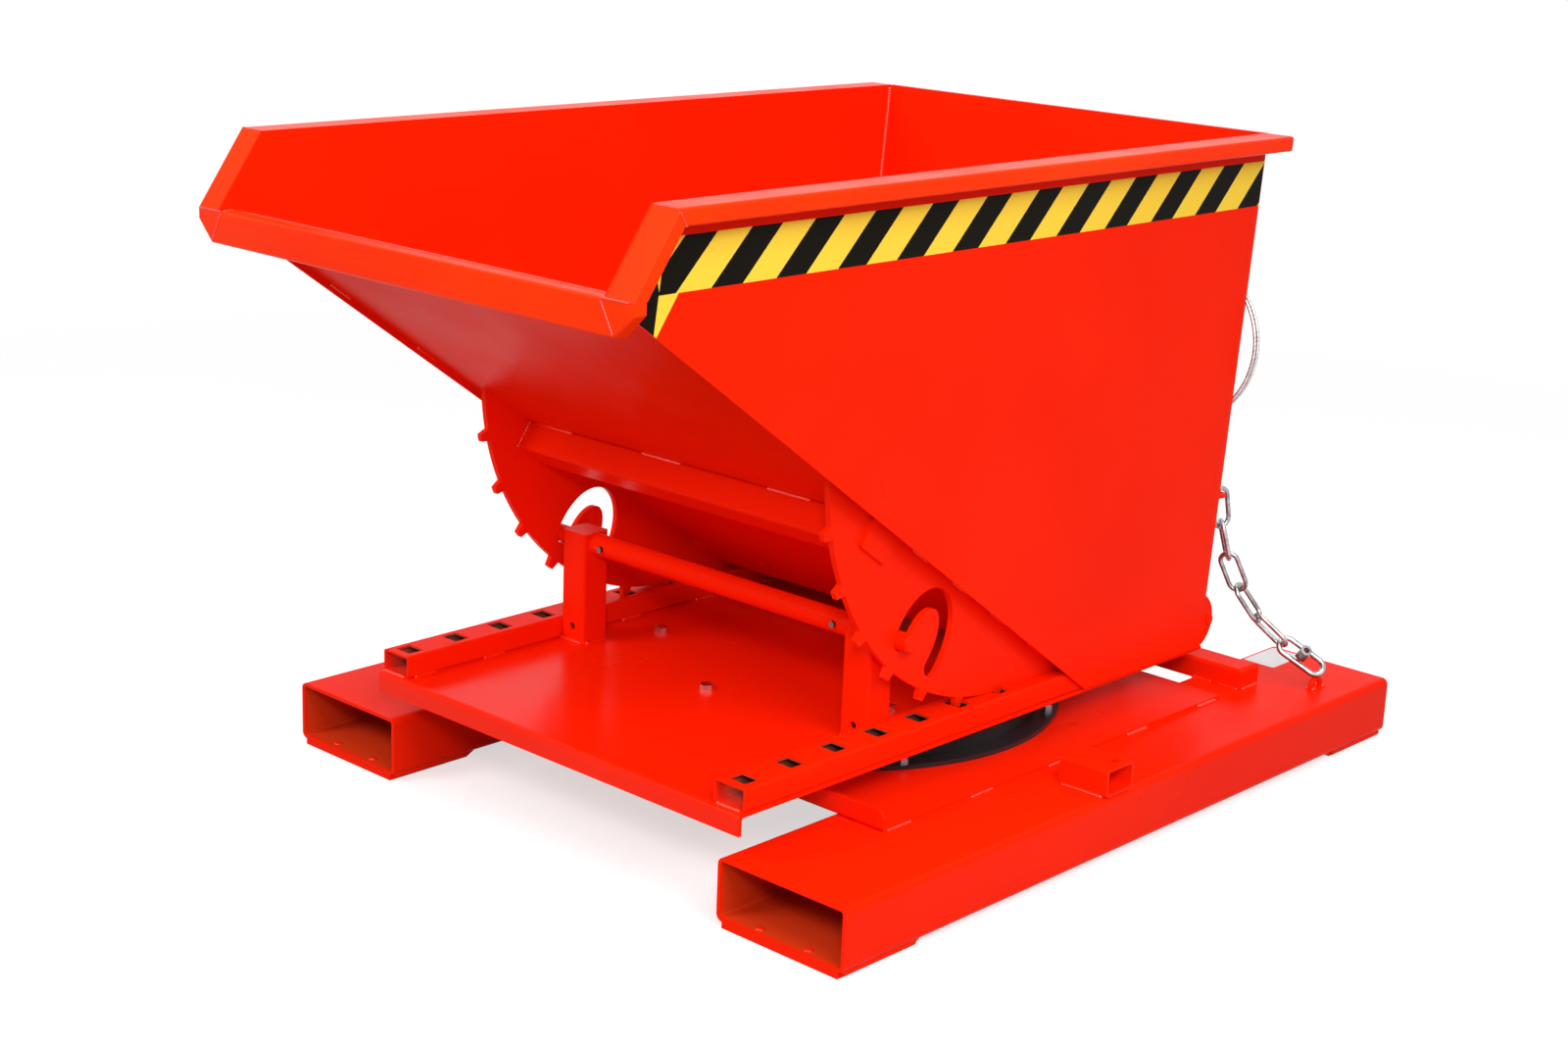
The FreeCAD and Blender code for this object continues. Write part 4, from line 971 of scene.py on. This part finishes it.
def rim_welds(found, side):
    """The mitre of the rim, and the corner between rim and lip."""
    inward = Vector((0, 1, -1)).normalized()
    begin = (side * (WALL_OUT + MITRE_START), MITRE_TOP_Y, SKIP_TOP)
    weld(found, begin, (side * (RIM_OUT - MITRE_END), MITRE_TOP_Y, SKIP_TOP), inward, inward, MITRE_SIZE)
    outside = side * RIM_OUT
    begin = (outside, MITRE_TOP_Y, SKIP_TOP - CORNER_GAP)
    weld(found, begin, (outside, MITRE_LOW_Y, SKIP_TOP - MITRE_LOW), X * side, -X * side, MITRE_SIZE)
    seam = side * (WALL_IN - CORNER_GAP)
    end = (side * (RIM_OUT - CORNER_GAP), LIP_FRONT, LIP_TOP)
    weld(found, (seam, LIP_FRONT, LIP_TOP), end, Y, -Y, LIP_SIZE)
    low = side * (RIM_OUT - LIP_CHAMFER - LIP_CHAMFER_GAP)
    end = (low, LIP_FRONT, LIP_BOTTOM + LIP_FOLD_GAP)
    weld(found, (seam, LIP_FRONT, LIP_TOP - LIP_FOLD_GAP), end, Y, -Y, LIP_SIZE)
    weld(found, (seam, LIP_FRONT + LIP_FOLD_GAP, LIP_TOP), (seam, LIP_BACK, LIP_TOP), Z, -Z, LIP_SIZE)


def skip_welds():
    """The hopper inside and underneath, its rims and lip, and the cross brace."""
    found = []
    brace_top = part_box("cross_brace")[1].z
    brace_y = CORNER_Y - (brace_top - SKIRT_PROUD / math.cos(CHUTE) - WALL_FOOT) / CHUTE_SLOPE
    rocker_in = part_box("right_rocker")[0].x
    for side in (-1, 1):
        hopper_welds(found, side)
        chute_welds(found, side, brace_y)
        rim_welds(found, side)
    rear = rear_in(FLOOR_TOP)
    weld(found, (-WALL_IN, rear, FLOOR_TOP), (WALL_IN, rear, FLOOR_TOP), -REAR_OUT, Z)
    weld(found, (-WALL_IN, LIP_BACK, LIP_TOP), (WALL_IN, LIP_BACK, LIP_TOP), Z, -Z, LIP_SIZE)
    stitch(
        found, chute_under(-rocker_in, brace_y), chute_under(rocker_in, brace_y), CHUTE_UP, -CHUTE_OUT,
        BRACE_STITCHES)
    return found


for name, make, body, coating in (
        ("base_welds", base_welds, "base", weld_coat), ("foot_welds", foot_welds, "base", orange_coat),
        ("frame_welds", frame_welds, "turning_frame", weld_coat),
        ("skip_welds", skip_welds, "skip", weld_coat)):
    give(join(make(), name), coating, body)
for spare in [ripple] + list(runs.values()):
    bpy.data.objects.remove(spare)


# Floor and light

FLOOR_RADIUS = 4.0
FLOOR_CORNERS = 96
FLOOR_DROP = 0.0005
FLOOR_FADE_START = 1.3
FLOOR_FADE_END = 3.4
FLOOR_BOUNCE = 0.45
FLOOR_SHOWN = 0.5
FLOOR_GLOW = 0.62
WORLD_LIGHT = 0.26


def seen_directly(tree):
    """1 for rays from the camera, in mirrors and through glass, and 0 for light that bounces."""
    rays = tree.nodes.new("ShaderNodeLightPath").outputs
    return add_up(
        tree, rays["Is Camera Ray"],
        add_up(tree, rays["Is Glossy Ray"], rays["Is Transmission Ray"], "MAXIMUM"), "MAXIMUM")


def mix_shader(tree, share, first, second):
    node = tree.nodes.new("ShaderNodeMixShader")
    tree.links.new(share, node.inputs[0])
    tree.links.new(first, node.inputs[1])
    tree.links.new(second, node.inputs[2])
    return node.outputs[0]


def plain_shader(tree, kind, colour, **values):
    node = tree.nodes.new(kind)
    node.inputs["Color"].default_value = (*colour, 1)
    for label, value in values.items():
        node.inputs[label].default_value = value
    return node.outputs[0]


def add_floor():
    floor = start(
        bpy.ops.mesh.primitive_circle_add, "floor", vertices=FLOOR_CORNERS, radius=FLOOR_RADIUS,
        fill_type="NGON", location=(0, 0, -FLOOR_DROP))
    close_edit()
    material = bpy.data.materials.new("pale_floor")
    material.use_nodes = True
    tree = material.node_tree
    tree.nodes.remove(tree.nodes["Principled BSDF"])
    shown = tree.nodes.new("ShaderNodeAddShader")
    tree.links.new(plain_shader(tree, "ShaderNodeBsdfDiffuse", [FLOOR_SHOWN] * 3), shown.inputs[0])
    tree.links.new(plain_shader(tree, "ShaderNodeEmission", (1, 1, 1), Strength=FLOOR_GLOW), shown.inputs[1])
    bounce = plain_shader(tree, "ShaderNodeBsdfDiffuse", [FLOOR_BOUNCE] * 3)
    ground = mix_shader(tree, seen_directly(tree), bounce, shown.outputs[0])
    far = tree.nodes.new("ShaderNodeVectorMath")
    far.operation = "LENGTH"
    tree.links.new(tree.nodes.new("ShaderNodeTexCoord").outputs["Object"], far.inputs[0])
    fade = spread(tree, far.outputs["Value"], 0.0, 1.0, FLOOR_FADE_START, FLOOR_FADE_END)
    clear = plain_shader(tree, "ShaderNodeBsdfTransparent", (1, 1, 1))
    tree.links.new(mix_shader(tree, fade, ground, clear), tree.nodes["Material Output"].inputs["Surface"])
    floor.data.materials.append(material)


def add_world():
    world = bpy.data.worlds.new("studio")
    scene.world = world
    world.use_nodes = True
    tree = world.node_tree
    tree.nodes.remove(tree.nodes["Background"])
    light = plain_shader(tree, "ShaderNodeBackground", (1, 1, 1), Strength=WORLD_LIGHT)
    white = plain_shader(tree, "ShaderNodeBackground", (1, 1, 1), Strength=1.0)
    sky = mix_shader(tree, seen_directly(tree), light, white)
    tree.links.new(sky, tree.nodes["World Output"].inputs["Surface"])


def add_lamp(name, place, aim, size, power):
    bpy.ops.object.light_add(type="AREA", location=place)
    lamp = bpy.context.object
    lamp.name = name
    lamp.data.shape = "RECTANGLE"
    lamp.data.size, lamp.data.size_y = size
    lamp.data.energy = power
    lamp.rotation_euler = (Vector(aim) - Vector(place)).to_track_quat("-Z", "Y").to_euler()


# Each lamp: its name, its place, where it aims, its width and height, and its power in watts
LAMPS = (
    ("key_lamp", (3.2, -1.2, 3.0), (0, 0, 0.4), (2.2, 2.2), 104),
    ("camera_lamp", (2.35, -2.6, 1.95), (0, -0.1, 0.35), (0.5, 0.5), 42),
    ("front_lamp", (-1.6, -3.4, 2.8), (0, -0.2, 0.4), (1.6, 1.4), 78),
    ("top_lamp", (0.2, 0.4, 3.8), (0, 0, 0.4), (3.0, 3.0), 70))


add_floor()
add_world()
for lamp in LAMPS:
    add_lamp(*lamp)
